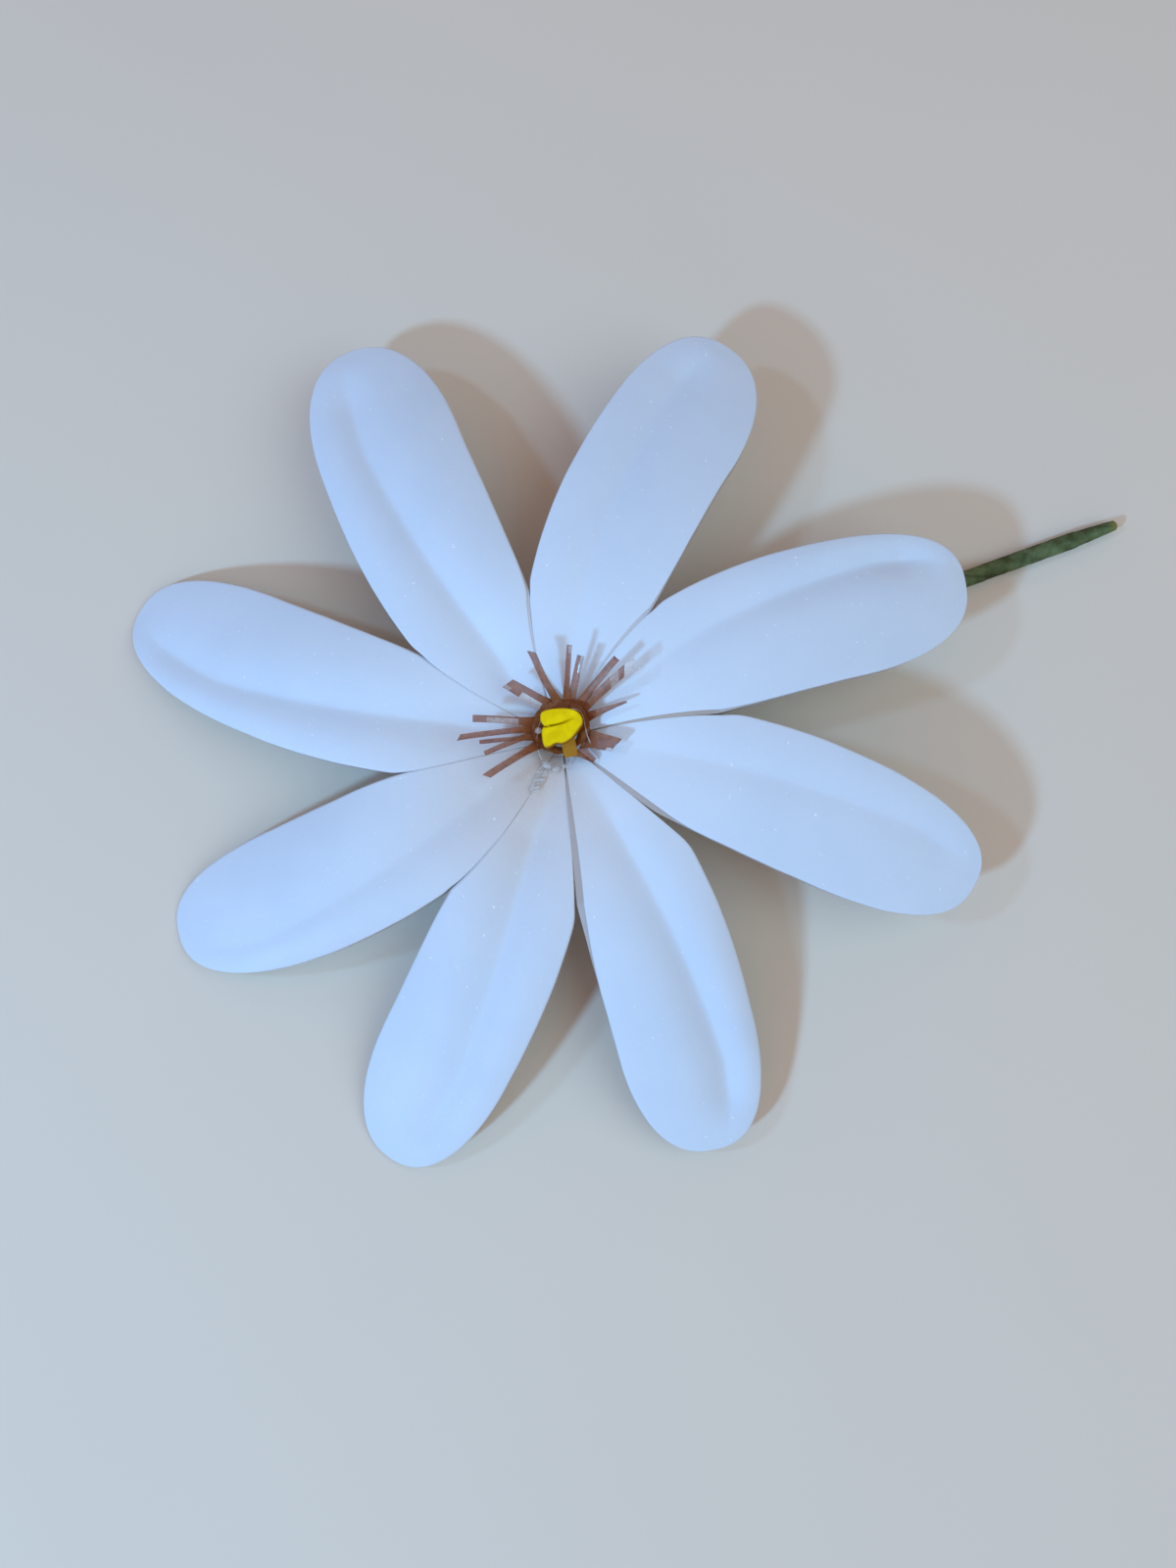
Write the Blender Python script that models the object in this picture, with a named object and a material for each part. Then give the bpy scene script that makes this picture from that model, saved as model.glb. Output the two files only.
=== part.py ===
"""Craft tiare flower of white foam, lying face up on its petal tips and its taped wire stem.

Eight foam petals stand round the end of a florist's wire. Each has a narrow claw, rises out of a
funnel, levels off and droops to a round tip, and has one crease pressed along it. A fringe of brown
film, a folded yellow foam pistil and a plug of glue fill the middle. Green tape holds the claws and
covers the wire, which bends under the head and runs out along the surface below the third petal.

Lengths are in millimetres and angles in degrees, anticlockwise from +X seen from above. The head is
worked out in a frame of its own, with z = 0 at the throat of the funnel, and is then leaned and lifted
to its place. +Z is up, and the surface that the flower lies on is z = 0.
"""

import math
from dataclasses import dataclass

import bmesh
import bpy
import numpy as np
from mathutils import Matrix, Vector

MM = 0.001
GAP = 0.3                    # clearance between pieces that touch on the real flower

# How the head sits
THROAT_HEIGHT = 8.0          # throat of the funnel above the surface
HEAD_LEAN = 4.0              # the head leans off level,
HIGH_SIDE = 50.0             # with this side up, because the stem lifts it there

# Petals
FOAM = 2.0                   # craft foam sheet
CLAW_FOAM = 1.7              # the same foam squeezed between wire and tape
THROAT_RADIUS = 2.4          # middle of the foam at the throat
CLAW_LENGTH = 3.2            # below the throat
CLAW_BEND = 1.5              # length over which a claw turns from upright to the funnel's slope
CLAW_HALF_WIDTH = 1.7        # widest that the tape lets a claw be
FUNNEL_SLOPE = 64.0          # at the throat
FUNNEL_REST = 14.0           # part of that slope that fades along the whole petal
FUNNEL_FADE = 3.5            # length over which the rest of it fades
TURN_POWER = 0.6             # a midline turns most near its claw
SWIRL_POWER = 0.8            # and a seam turns a little more near its notch
CLAW_SHARE = 0.465           # free half width at the claw, as a share of the widest
WIDEST_AT = 0.6              # place of the widest point along the petal
TAPER_POWER = 0.85
TIP_LEAN = 0.85              # how near the tip its fuller side still pulls it aside
GROOVE_REACH = 4.1           # a crease flattens out over this distance
GROOVE_ROUND = 0.5           # radius at the bottom of a crease
GROOVE_START, GROOVE_FULL = 4.0, 14.0
INNER_STATION, OUTER_STATION = 26.0, 50.0    # where a crease is measured
GROOVE_FADE_FROM, GROOVE_FADE_TO = 0.8, 0.97     # near the tip a crease fades to
GROOVE_AT_TIP = 0.05         # this share of its depth
SEAM_BOW = 0.9               # bow of the flanks where the petals touch, before each has its own
FREE_FROM, BOW_FULL, ROLL_FULL = 16.0, 36.0, 44.0
BOW_POWER = 2.5

# Fringe of brown film, rolled round the pistil
FRINGE_CENTRE = (0.3, 0.6)
FILM = 0.6
COLLAR_BOTTOM, COLLAR_TOP = 3.6, 5.2
COLLAR_INNER_BOTTOM, COLLAR_INNER_TOP = 2.6, 3.6
COLLAR_SIDES = 20
STRIP_BEND = 1.4             # a strip leaves the collar steeply and then levels

# Pistil: a yellow foam strip folded double and seen end on
PISTIL_CENTRE = (0.5, 0.7)
PISTIL_TURN = 16.0
PISTIL_BASE, PISTIL_NECK, PISTIL_FLARE, PISTIL_TOP = 3.6, 4.9, 5.7, 8.2
PISTIL_LENGTH, PISTIL_BREADTH = 5.8, 4.5
NECK_LENGTH, NECK_BREADTH = 4.0, 3.4
FOLD_DEPTH = 0.5             # groove between the two halves of the strip
FOLD_HALF_WIDTH = 0.35       # of its cutter,
FOLD_CUTTER_LIFT = 0.2       # at this height above the top
FOLD_SHARE = 0.55            # the groove stops here on its way to the fold's closed end
FOLD_PAST = 1.0              # and the cutter starts this far outside the open end
CORNER = 0.4                 # chamfer of the strip's cut ends

# Glue plug in the funnel
PLUG_PROFILE = ((0.9, 1.5), (2.0, 2.45), (3.0, 3.1), (3.3, 3.1))   # (height, radius)
PLUG_SIDES = 18

# Stem
STEM_END = (85.5, 35.0)
STEM_BOW = 1.1               # sideways bow of the hand-straightened wire
TAPE_RADIUS = 1.3
TAPE_END_RADIUS = 0.95
TAPE_END_TAPER = 9.0
CHANNEL_RADIUS = 0.8
WIRE_RADIUS = 0.5
WIRE_TOP = 0.4               # above the throat
WIRE_SHORT_OF_END = 1.0
CUP_INNER, CUP_OUTER, CUP_WAIST = 3.75, 4.4, 4.2
CUP_TOP, CUP_FLOOR, CUP_NECK = -1.6, -3.5, -5.0
NECK_RADIUS = 1.5
BEND_RUN = 3.4               # how far the bend carries the wire sideways
BEND_PULL = 0.55             # how strongly the bend leaves and arrives, as a share of its drop
BEND_STEPS, RUN_STEPS = 8, 15
TAPE_SIDES, WIRE_SIDES = 14, 10
CHANNEL_STOP = 0.9           # the channel ends at this share of the last step of the path

# Grid of a petal
ROWS = 19                    # from the throat to the tip,
ROW_GRADING = 1.8            # closer together by this power towards the tip
CLAW_ROWS = (-CLAW_LENGTH, -CLAW_BEND, -0.6)
FLANK_STEPS = (0.0, 0.2, 0.6, 1.0)


@dataclass(frozen=True)
class Petal:
    """One foam petal."""

    azimuth: float           # where its claw stands
    length: float            # along the midline from the throat
    half_width: float
    turn: float              # clockwise turn of its midline from claw to tip
    droop: float             # slope of its tip below level
    tip_from: float          # share of the length where the round tip starts
    round_left: float        # how full the tip is on its anticlockwise side, where 2 is an ellipse
    round_right: float       # and on its clockwise side
    groove: float            # depth of the pressed crease at its inner station
    groove_out: float        # and at its outer station
    side: float              # crease off the midline there, as a share of the half width, anticlockwise
    drift: float             # how far that share grows from the inner to the outer station
    bow: float               # how far the flanks bow down to the edges
    roll: float              # rise across the free part of the petal, towards its anticlockwise side


@dataclass(frozen=True)
class Seam:
    """Where a petal meets the next one clockwise, from the head's axis out to a notch."""

    azimuth: float           # of the notch
    notch: float             # radius of the notch
    swirl: float             # how far the seam turns anticlockwise on its way in to the axis
    bevel: float             # angle by which the slanting cut of the first petal sets back its upper face


@dataclass(frozen=True)
class Strip:
    """One cut strip of the film fringe."""

    root: float              # azimuth at the collar
    tip: float               # azimuth at the tip
    reach: float             # tip radius
    height: float            # tip height above the throat
    width: float
    tip_width: float


PETALS = (
    Petal(azimuth=134.3, length=68.2, half_width=10.8, turn=27.2, droop=22.0, tip_from=0.72, round_left=2.4,
          round_right=2.1, groove=1.6, groove_out=1.3, side=0.09, drift=0.24, bow=1.9, roll=-0.02),
    Petal(azimuth=87.8, length=64.4, half_width=10.3, turn=35.7, droop=22.0, tip_from=0.73, round_left=2.8,
          round_right=1.9, groove=0.8, groove_out=1.15, side=0.18, drift=0.16, bow=0.35, roll=-0.01),
    Petal(azimuth=40.5, length=63.4, half_width=10.1, turn=33.6, droop=22.0, tip_from=0.69, round_left=3.0,
          round_right=2.0, groove=0.95, groove_out=1.9, side=0.3, drift=0.27, bow=0.95, roll=0.01),
    Petal(azimuth=-7.5, length=62.5, half_width=9.7, turn=21.6, droop=22.0, tip_from=0.63, round_left=2.9,
          round_right=2.1, groove=0.5, groove_out=0.6, side=0.18, drift=0.21, bow=0.7, roll=0.09),
    Petal(azimuth=-53.6, length=62.9, half_width=9.9, turn=27.7, droop=25.0, tip_from=0.7, round_left=2.6,
          round_right=2.2, groove=1.65, groove_out=2.3, side=0.17, drift=0.29, bow=1.8, roll=-0.07),
    Petal(azimuth=-96.6, length=65.8, half_width=9.9, turn=27.0, droop=25.7, tip_from=0.7, round_left=2.4,
          round_right=2.1, groove=1.9, groove_out=1.4, side=0.04, drift=0.3, bow=1.7, roll=0.08),
    Petal(azimuth=-136.3, length=64.4, half_width=10.1, turn=28.4, droop=26.6, tip_from=0.6, round_left=2.2,
          round_right=2.7, groove=1.0, groove_out=0.9, side=0.2, drift=0.33, bow=2.2, roll=0.09),
    Petal(azimuth=-179.1, length=70.0, half_width=10.1, turn=32.3, droop=29.6, tip_from=0.65, round_left=2.5,
          round_right=2.1, groove=1.5, groove_out=1.7, side=0.14, drift=0.34, bow=1.5, roll=0.03),
)

SEAMS = (
    Seam(azimuth=101.4, notch=21.1, swirl=9.0, bevel=1.6),
    Seam(azimuth=52.8, notch=22.2, swirl=9.5, bevel=1.5),
    Seam(azimuth=6.2, notch=23.0, swirl=5.0, bevel=2.1),
    Seam(azimuth=-40.3, notch=20.5, swirl=0.0, bevel=3.5),
    Seam(azimuth=-84.9, notch=24.1, swirl=2.5, bevel=3.2),
    Seam(azimuth=-125.3, notch=26.5, swirl=12.0, bevel=0.8),
    Seam(azimuth=-166.6, notch=22.6, swirl=3.0, bevel=0.8),
    Seam(azimuth=149.4, notch=23.0, swirl=8.0, bevel=0.9),
)

STRIPS = (
    Strip(root=118, tip=137, reach=10.2, height=8.3, width=2.0, tip_width=2.1),
    Strip(root=161, tip=171, reach=12.0, height=9.0, width=1.1, tip_width=1.0),
    Strip(root=174, tip=184, reach=13.7, height=9.9, width=0.8, tip_width=0.8),
    Strip(root=194, tip=187, reach=11.1, height=7.9, width=0.6, tip_width=0.6),
    Strip(root=184, tip=196, reach=10.7, height=8.0, width=0.8, tip_width=0.7),
    Strip(root=210, tip=212, reach=11.7, height=8.5, width=0.9, tip_width=1.0),
    Strip(root=95, tip=108, reach=11.7, height=9.5, width=1.0, tip_width=1.0),
    Strip(root=80, tip=82, reach=12.1, height=9.7, width=0.8, tip_width=0.7),
    Strip(root=71, tip=73, reach=11.1, height=8.8, width=1.0, tip_width=1.0),
    Strip(root=58, tip=50.5, reach=13.0, height=9.9, width=1.0, tip_width=1.0),
    Strip(root=47, tip=41, reach=14.1, height=10.1, width=1.2, tip_width=1.4),
    Strip(root=29, tip=24, reach=10.5, height=7.5, width=1.2, tip_width=0.6),
    Strip(root=-14, tip=-9, reach=9.0, height=7.6, width=2.4, tip_width=2.2),
)


def head_matrix():
    """Place of the head: leaned so that its high side is up, and lifted to the throat's height."""
    high = math.radians(HIGH_SIDE)
    hinge = Vector((math.sin(high), -math.cos(high), 0.0))
    lean = Matrix.Rotation(math.radians(HEAD_LEAN), 4, hinge)
    return Matrix.Translation((0.0, 0.0, THROAT_HEIGHT)) @ lean


def place(points):
    """Move points of the head to the world, and press what would go through the surface flat."""
    matrix = np.array(head_matrix())
    placed = np.asarray(points, dtype=float) @ matrix[:3, :3].T + matrix[:3, 3]
    placed[:, 2] = np.maximum(placed[:, 2], 0.0)
    return placed


def smoothstep(value, low, high):
    """Ease from 0 at low to 1 at high with a cubic."""
    share = np.clip((value - low) / (high - low), 0.0, 1.0)
    return share * share * (3.0 - 2.0 * share)


def smooth_min(a, b, blend=0.6):
    """The smaller of two widths, with the corner between them rounded."""
    share = np.clip(0.5 + 0.5 * (b - a) / blend, 0.0, 1.0)
    return b + (a - b) * share - blend * share * (1.0 - share)


def midline(petal, stations):
    """Midline of a petal at distances from its throat: points, heading and slope in radians.

    The slope falls from upright in the claw through the funnel to the drooping tip, and the heading
    turns clockwise. Both are summed up along the line in small steps.
    """
    fine = np.linspace(-CLAW_LENGTH, petal.length, 1200)
    share = np.clip(fine / petal.length, 0.0, 1.0)
    free = (FUNNEL_SLOPE - FUNNEL_REST) * np.exp(-np.maximum(fine, 0.0) / FUNNEL_FADE)
    free = free + FUNNEL_REST - (FUNNEL_REST + petal.droop) * share
    claw = FUNNEL_SLOPE + (90.0 - FUNNEL_SLOPE) * np.clip(-fine / CLAW_BEND, 0.0, 1.0)
    slope = np.radians(np.where(fine < 0.0, claw, free))
    heading = np.radians(petal.azimuth - petal.turn * share ** TURN_POWER)
    step = fine[1] - fine[0]

    def summed(rate):
        """Running sum of a rate along the line, zero at the throat."""
        total = np.concatenate([[0.0], np.cumsum((rate[1:] + rate[:-1]) / 2)]) * step
        return total - np.interp(0.0, fine, total)

    start = math.radians(petal.azimuth)
    x = THROAT_RADIUS * math.cos(start) + summed(np.cos(slope) * np.cos(heading))
    y = THROAT_RADIUS * math.sin(start) + summed(np.cos(slope) * np.sin(heading))
    z = summed(np.sin(slope))
    points = np.stack([np.interp(stations, fine, axis) for axis in (x, y, z)], axis=-1)
    return points, np.interp(stations, fine, heading), np.interp(stations, fine, slope)


def free_sides(petal, share):
    """Widths of the cut petal on its two sides, anticlockwise first, and how far its tip leans aside.

    A sine taper widens it from the claw, and a superellipse rounds each side of the tip. The fuller
    side pulls the very tip towards it.
    """
    along = np.clip(share / WIDEST_AT, 1e-6, 1.0)
    taper = CLAW_SHARE + (1.0 - CLAW_SHARE) * np.sin(math.pi / 2 * along) ** TAPER_POWER
    past = np.clip((share - petal.tip_from) / (1.0 - petal.tip_from), 0.0, 1.0)
    width = petal.half_width * taper

    def rounded(near, fullness):
        """Superellipse: 1 where the tip starts and 0 at its end."""
        return (1.0 - near ** fullness) ** (1.0 / fullness)

    half = (rounded(past, petal.round_left) + rounded(past, petal.round_right)) / 2
    near = TIP_LEAN * past
    lean = (rounded(near, petal.round_left) - rounded(near, petal.round_right)) / 2
    return width * (half + lean), width * (half - lean), width * lean


def seam_room(centre, heading, seam, side, bevel):
    """Room from a midline to the seam on one side (1 anticlockwise, -1 clockwise).

    A seam is an upright wall that starts at the head's axis and swirls out to its notch. The room is
    measured square to the midline and leaves half of the gap between the petals, and an upper face
    with a slanting cut stands back by the bevel's angle too. The seam's azimuth depends on the radius
    that the edge reaches, so the two are worked out in turn a few times.
    """
    across = np.stack([-np.sin(heading), np.cos(heading)], axis=-1) * side
    reach = np.linalg.norm(centre[:, :2], axis=1)
    for _ in range(6):
        inner = np.clip(1.0 - reach / seam.notch, 0.0, 1.0)
        angle = np.radians(seam.azimuth + bevel + seam.swirl * inner ** SWIRL_POWER)
        inward = np.stack([np.sin(angle), -np.cos(angle)], axis=-1) * side
        distance = np.sum(centre[:, :2] * inward, axis=1) - GAP / 2
        room = distance / np.maximum(np.cos(heading - angle), 0.05)
        reach = np.linalg.norm(centre[:, :2] + across * room[:, None], axis=1)
    return room


def petal_face(petal, seams, stations, upper):
    """One face of a petal: rows of points from its clockwise edge over the crease to the other edge.

    The sheet dips along the crease by one less the hyperbolic tangent of the distance from it, bows
    down to the edges by a power of that distance, and rolls to one side.
    """
    share = np.clip(stations / petal.length, 0.0, 1.0)
    centre, heading, slope = midline(petal, stations)
    thick = FOAM + (CLAW_FOAM - FOAM) * np.clip(1.0 - stations / GROOVE_START, 0.0, 1.0)
    out = thick / 2 * (1.0 if upper else -1.0)
    centre[:, 0] -= out * np.sin(slope) * np.cos(heading)
    centre[:, 1] -= out * np.sin(slope) * np.sin(heading)
    centre[:, 2] += out * np.cos(slope)

    limit = np.where(stations < -CLAW_BEND / 2, CLAW_HALF_WIDTH, petal.half_width + 1.0)
    free_left, free_right, lean = free_sides(petal, share)
    bevel = seams[1].bevel if upper else 0.0
    left = smooth_min(np.minimum(free_left, limit), seam_room(centre, heading, seams[0], 1.0, 0.0))
    right = smooth_min(np.minimum(free_right, limit), seam_room(centre, heading, seams[1], -1.0, bevel))
    fade_in = np.clip((stations - GROOVE_START) / (GROOVE_FULL - GROOVE_START), 0.0, 1.0)
    outward = np.clip((stations - INNER_STATION) / (OUTER_STATION - INNER_STATION), -0.5, 1.0)
    off_middle = lean + (petal.side + petal.drift * outward) * (left + right) / 2
    crease = (left - right) / 2 * (1.0 - fade_in) + off_middle * fade_in

    flank = np.array(FLANK_STEPS)
    towards_right = crease[:, None] + (-right - crease)[:, None] * flank[::-1]
    towards_left = crease[:, None] + (left - crease)[:, None] * flank[1:]
    across = np.concatenate([towards_right, towards_left], axis=1)

    fade_out = smoothstep(share, GROOVE_FADE_FROM, GROOVE_FADE_TO)
    depth = (petal.groove + (petal.groove_out - petal.groove) * outward) * fade_in
    depth = depth * (1.0 - (1.0 - GROOVE_AT_TIP) * fade_out)
    aside = across - crease[:, None]
    off = np.hypot(aside, GROOVE_ROUND) - GROOVE_ROUND
    lift = -depth[:, None] * (1.0 - np.tanh(off / GROOVE_REACH))
    reach = petal.half_width - np.sign(aside) * crease[:, None]
    bow = (SEAM_BOW + (petal.bow - SEAM_BOW) * smoothstep(stations, FREE_FROM, BOW_FULL)) * fade_in
    lift = lift - bow[:, None] * np.clip(np.abs(aside) / reach, 0.0, 1.2) ** BOW_POWER
    roll = petal.roll * smoothstep(stations, FREE_FROM, ROLL_FULL)
    lift = lift + roll[:, None] * across
    x = centre[:, :1] - across * np.sin(heading)[:, None]
    y = centre[:, 1:2] + across * np.cos(heading)[:, None]
    return np.stack([x, y, centre[:, 2:] + lift], axis=-1)


def petal_mesh(petal, seams):
    """Closed body of a petal: two faces split alike into triangles, and the cut edge between them.

    The seams are the one on the petal's anticlockwise side and the one on its clockwise side.
    """
    even = np.linspace(0.0, 1.0, ROWS)
    stations = petal.length * (1.0 - (1.0 - even) ** ROW_GRADING)
    stations = np.concatenate([CLAW_ROWS, stations])
    upper = petal_face(petal, seams, stations, True)
    lower = petal_face(petal, seams, stations, False)
    rows, columns = upper.shape[:2]
    body = (rows - 1) * columns
    # the last row of each face is one point, the tip
    points = np.concatenate([upper[:-1].reshape(-1, 3), upper[-1, :1],
                             lower[:-1].reshape(-1, 3), lower[-1, :1]])
    size = body + 1
    faces = []

    def corner(row, column, face):
        """Number of a grid point, with the whole last row at the tip."""
        number = body if row == rows - 1 else row * columns + column
        return number + face * size

    for row in range(rows - 1):
        for column in range(columns - 1):
            a, b = (row, column), (row, column + 1)
            c, d = (row + 1, column + 1), (row + 1, column)
            for triangle in ((a, b, c), (a, c, d)):
                top = [corner(*spot, 0) for spot in triangle]
                if len(set(top)) == 3:
                    faces.append(top[::-1])
                    faces.append([corner(*spot, 1) for spot in triangle])
        for column in (0, columns - 1):
            ends = [corner(row, column, 0), corner(row + 1, column, 0),
                    corner(row + 1, column, 1), corner(row, column, 1)]
            faces.append(ends if column == 0 else ends[::-1])
    for column in range(columns - 1):
        faces.append([corner(0, column, 0), corner(0, column, 1),
                      corner(0, column + 1, 1), corner(0, column + 1, 0)])
    return place(points), faces


def ring_mesh(rings, close_ends=True):
    """Faces that join rings of equal size into a tube, with a cap at each end."""
    count = len(rings[0])
    faces = []
    for ring in range(len(rings) - 1):
        low, high = ring * count, (ring + 1) * count
        for side in range(count):
            follow = (side + 1) % count
            faces.append([low + side, low + follow, high + follow, high + side])
    if close_ends:
        faces.append(list(range(count))[::-1])
        faces.append([(len(rings) - 1) * count + side for side in range(count)])
    return np.concatenate(rings), faces


def strip_mesh(strip):
    """A film strip: a thin bar from the collar's wall to the tip, straight in plan and bent upwards."""
    root_angle, tip_angle = math.radians(strip.root), math.radians(strip.tip)
    start_radius = COLLAR_INNER_TOP + FILM / 2
    centre = np.array(FRINGE_CENTRE)
    root = centre + start_radius * np.array([math.cos(root_angle), math.sin(root_angle)])
    tip = strip.reach * np.array([math.cos(tip_angle), math.sin(tip_angle)])
    along = (tip - root) / np.linalg.norm(tip - root)
    side = np.array([-along[1], along[0]])
    rings = []
    for share in np.linspace(0.0, 1.0, 5):
        plan = root + (tip - root) * share
        height = COLLAR_TOP - FILM / 2
        height += (strip.height - height) * (1.0 - (1.0 - share) ** STRIP_BEND)
        half = (strip.width + (strip.tip_width - strip.width) * share) / 2
        corners = ((-half, -FILM / 2), (half, -FILM / 2), (half, FILM / 2), (-half, FILM / 2))
        rings.append(np.array([[*(plan + side * across), height + up] for across, up in corners]))
    return ring_mesh(rings)


def collar_mesh():
    """The uncut band of the film, rolled into a ring that opens upwards."""
    profile = ((COLLAR_INNER_BOTTOM, COLLAR_BOTTOM), (COLLAR_INNER_BOTTOM + FILM, COLLAR_BOTTOM),
               (COLLAR_INNER_TOP + FILM, COLLAR_TOP), (COLLAR_INNER_TOP, COLLAR_TOP))
    angles = np.arange(COLLAR_SIDES) * 2 * math.pi / COLLAR_SIDES
    rings = []
    for angle in angles:
        rings.append(np.array([[FRINGE_CENTRE[0] + radius * math.cos(angle),
                                FRINGE_CENTRE[1] + radius * math.sin(angle), height]
                               for radius, height in profile]))
    points, faces = ring_mesh(rings, close_ends=False)
    last = (COLLAR_SIDES - 1) * len(profile)
    for side in range(len(profile)):
        follow = (side + 1) % len(profile)
        faces.append([last + side, last + follow, follow, side])
    return points, faces


def pistil_outline(length, breadth, arc=9):
    """Plan of the folded strip: square at its cut ends on the left, round at its fold on the right."""
    half = breadth / 2
    bend = length / 2 - half
    angles = np.linspace(-math.pi / 2, math.pi / 2, arc)
    points = [(bend + half * math.cos(angle), half * math.sin(angle)) for angle in angles]
    points += [(-length / 2 + CORNER, half), (-length / 2, half - CORNER), (-length / 2, 0.0),
               (-length / 2, CORNER - half), (-length / 2 + CORNER, -half)]
    turn = math.radians(PISTIL_TURN)
    spin = np.array([[math.cos(turn), math.sin(turn)], [-math.sin(turn), math.cos(turn)]])
    return np.array(points) @ spin + np.array(PISTIL_CENTRE)


def pistil_mesh():
    """The pistil: a neck in the collar that flares to the folded strip's full size."""
    sections = ((PISTIL_BASE, NECK_LENGTH, NECK_BREADTH), (PISTIL_NECK, NECK_LENGTH, NECK_BREADTH),
                (PISTIL_FLARE, PISTIL_LENGTH, PISTIL_BREADTH), (PISTIL_TOP, PISTIL_LENGTH, PISTIL_BREADTH))
    rings = []
    for height, length, breadth in sections:
        plan = pistil_outline(length, breadth)
        rings.append(np.column_stack([plan, np.full(len(plan), height)]))
    return ring_mesh(rings)


def fold_cutter_mesh():
    """A wedge that cuts the groove between the two halves of the folded strip."""
    reach = PISTIL_LENGTH / 2
    turn = math.radians(PISTIL_TURN)
    along = np.array([math.cos(turn), math.sin(turn)])
    side = np.array([-along[1], along[0]])
    rings = []
    for distance in (-reach - FOLD_PAST, reach * FOLD_SHARE):
        plan = np.array(PISTIL_CENTRE) + along * distance
        rings.append(np.array([[*plan, PISTIL_TOP - FOLD_DEPTH],
                               [*(plan + side * FOLD_HALF_WIDTH), PISTIL_TOP + FOLD_CUTTER_LIFT],
                               [*(plan - side * FOLD_HALF_WIDTH), PISTIL_TOP + FOLD_CUTTER_LIFT]]))
    return ring_mesh(rings)


def plug_mesh():
    """Glue that fills the funnel under the collar."""
    angles = np.arange(PLUG_SIDES) * 2 * math.pi / PLUG_SIDES
    rings = [np.column_stack([radius * np.cos(angles), radius * np.sin(angles), np.full(PLUG_SIDES, height)])
             for height, radius in PLUG_PROFILE]
    return ring_mesh(rings)


def stem_path():
    """Points down the head's axis, round the bend and out along the surface, and the side they bend to.

    The bend is a cubic curve that leaves along the axis and arrives level. The run bows sideways as
    half a sine wave.
    """
    matrix = head_matrix()
    level = TAPE_RADIUS * math.cos(math.pi / TAPE_SIDES)
    end = Vector((*STEM_END, level))
    out = Vector((STEM_END[0], STEM_END[1], 0.0)).normalized()
    side = Vector((-out.y, out.x, 0.0))
    axis = [matrix @ Vector((0.0, 0.0, height))
            for height in (WIRE_TOP, CUP_TOP, CUP_FLOOR + 0.01, CUP_FLOOR, CUP_NECK)]
    start = axis[-1]
    down = (axis[-1] - axis[0]).normalized()
    run = Vector((start.x, start.y, 0.0)) + out * BEND_RUN
    run.z = level
    pull = BEND_PULL * (start.z - level)
    bend = []
    for step in range(1, BEND_STEPS + 1):
        t = step / BEND_STEPS
        bend.append((1 - t) ** 3 * start + 3 * (1 - t) ** 2 * t * (start + down * pull)
                    + 3 * (1 - t) * t * t * (run - out * pull) + t ** 3 * run)
    straight = []
    for step in range(1, RUN_STEPS + 1):
        t = step / RUN_STEPS
        straight.append(run.lerp(end, t) + side * STEM_BOW * math.sin(math.pi * t))
    return [np.array(point) for point in axis + bend + straight], np.array(side)


def tube_rings(path, radii, side, sides):
    """Rings round a path, each square to it, with a flat facet facing straight down."""
    rings = []
    for index, (point, radius) in enumerate(zip(path, radii)):
        before, after = path[max(index - 1, 0)], path[min(index + 1, len(path) - 1)]
        tangent = (after - before) / np.linalg.norm(after - before)
        across = side - tangent * (side @ tangent)
        across /= np.linalg.norm(across)
        upward = np.cross(tangent, across)
        angles = (np.arange(sides) + 0.5) * 2 * math.pi / sides + math.pi / 2
        rings.append(point + radius * (np.outer(np.cos(angles), across) + np.outer(np.sin(angles), upward)))
    return rings


def run_left(path):
    """Distance from each point of a path to its end."""
    steps = [np.linalg.norm(b - a) for a, b in zip(path, path[1:])]
    return np.array([sum(steps[index:]) for index in range(len(path))])


def tape_mesh():
    """Tape: a cup round the claws, a neck, and a tube along the wire that is closed at its end."""
    path, side = stem_path()
    path = path[1:]
    left = run_left(path)
    taper = TAPE_END_RADIUS + (TAPE_RADIUS - TAPE_END_RADIUS) * np.minimum(left / TAPE_END_TAPER, 1.0)
    outer = taper.copy()
    outer[:4] = (CUP_OUTER, CUP_WAIST, CUP_WAIST, NECK_RADIUS)
    outer[4:7] = np.linspace(NECK_RADIUS, TAPE_RADIUS, 4)[1:]
    inner = np.full(len(path), CHANNEL_RADIUS)
    inner[:2] = CUP_INNER
    stop = len(path) - 1
    outside = tube_rings(path, outer, side, TAPE_SIDES)
    inside = tube_rings(path, inner, side, TAPE_SIDES)[:stop]
    inside[-1] = inside[-1] + (path[stop] - path[stop - 1]) * CHANNEL_STOP
    # up the outside from the end of the stem, over the rim and down the inside of the channel
    points, faces = ring_mesh(outside[::-1] + inside)
    return points, faces


def wire_mesh():
    """The wire: a rod inside the tape from the claws to just short of the stem's end."""
    path, side = stem_path()
    stop = path[-1] - path[-2]
    path[-1] = path[-1] - stop * (WIRE_SHORT_OF_END / np.linalg.norm(stop))
    del path[1:4]
    rings = tube_rings(path, np.full(len(path), WIRE_RADIUS), side, WIRE_SIDES)
    return ring_mesh(rings[::-1])


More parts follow.
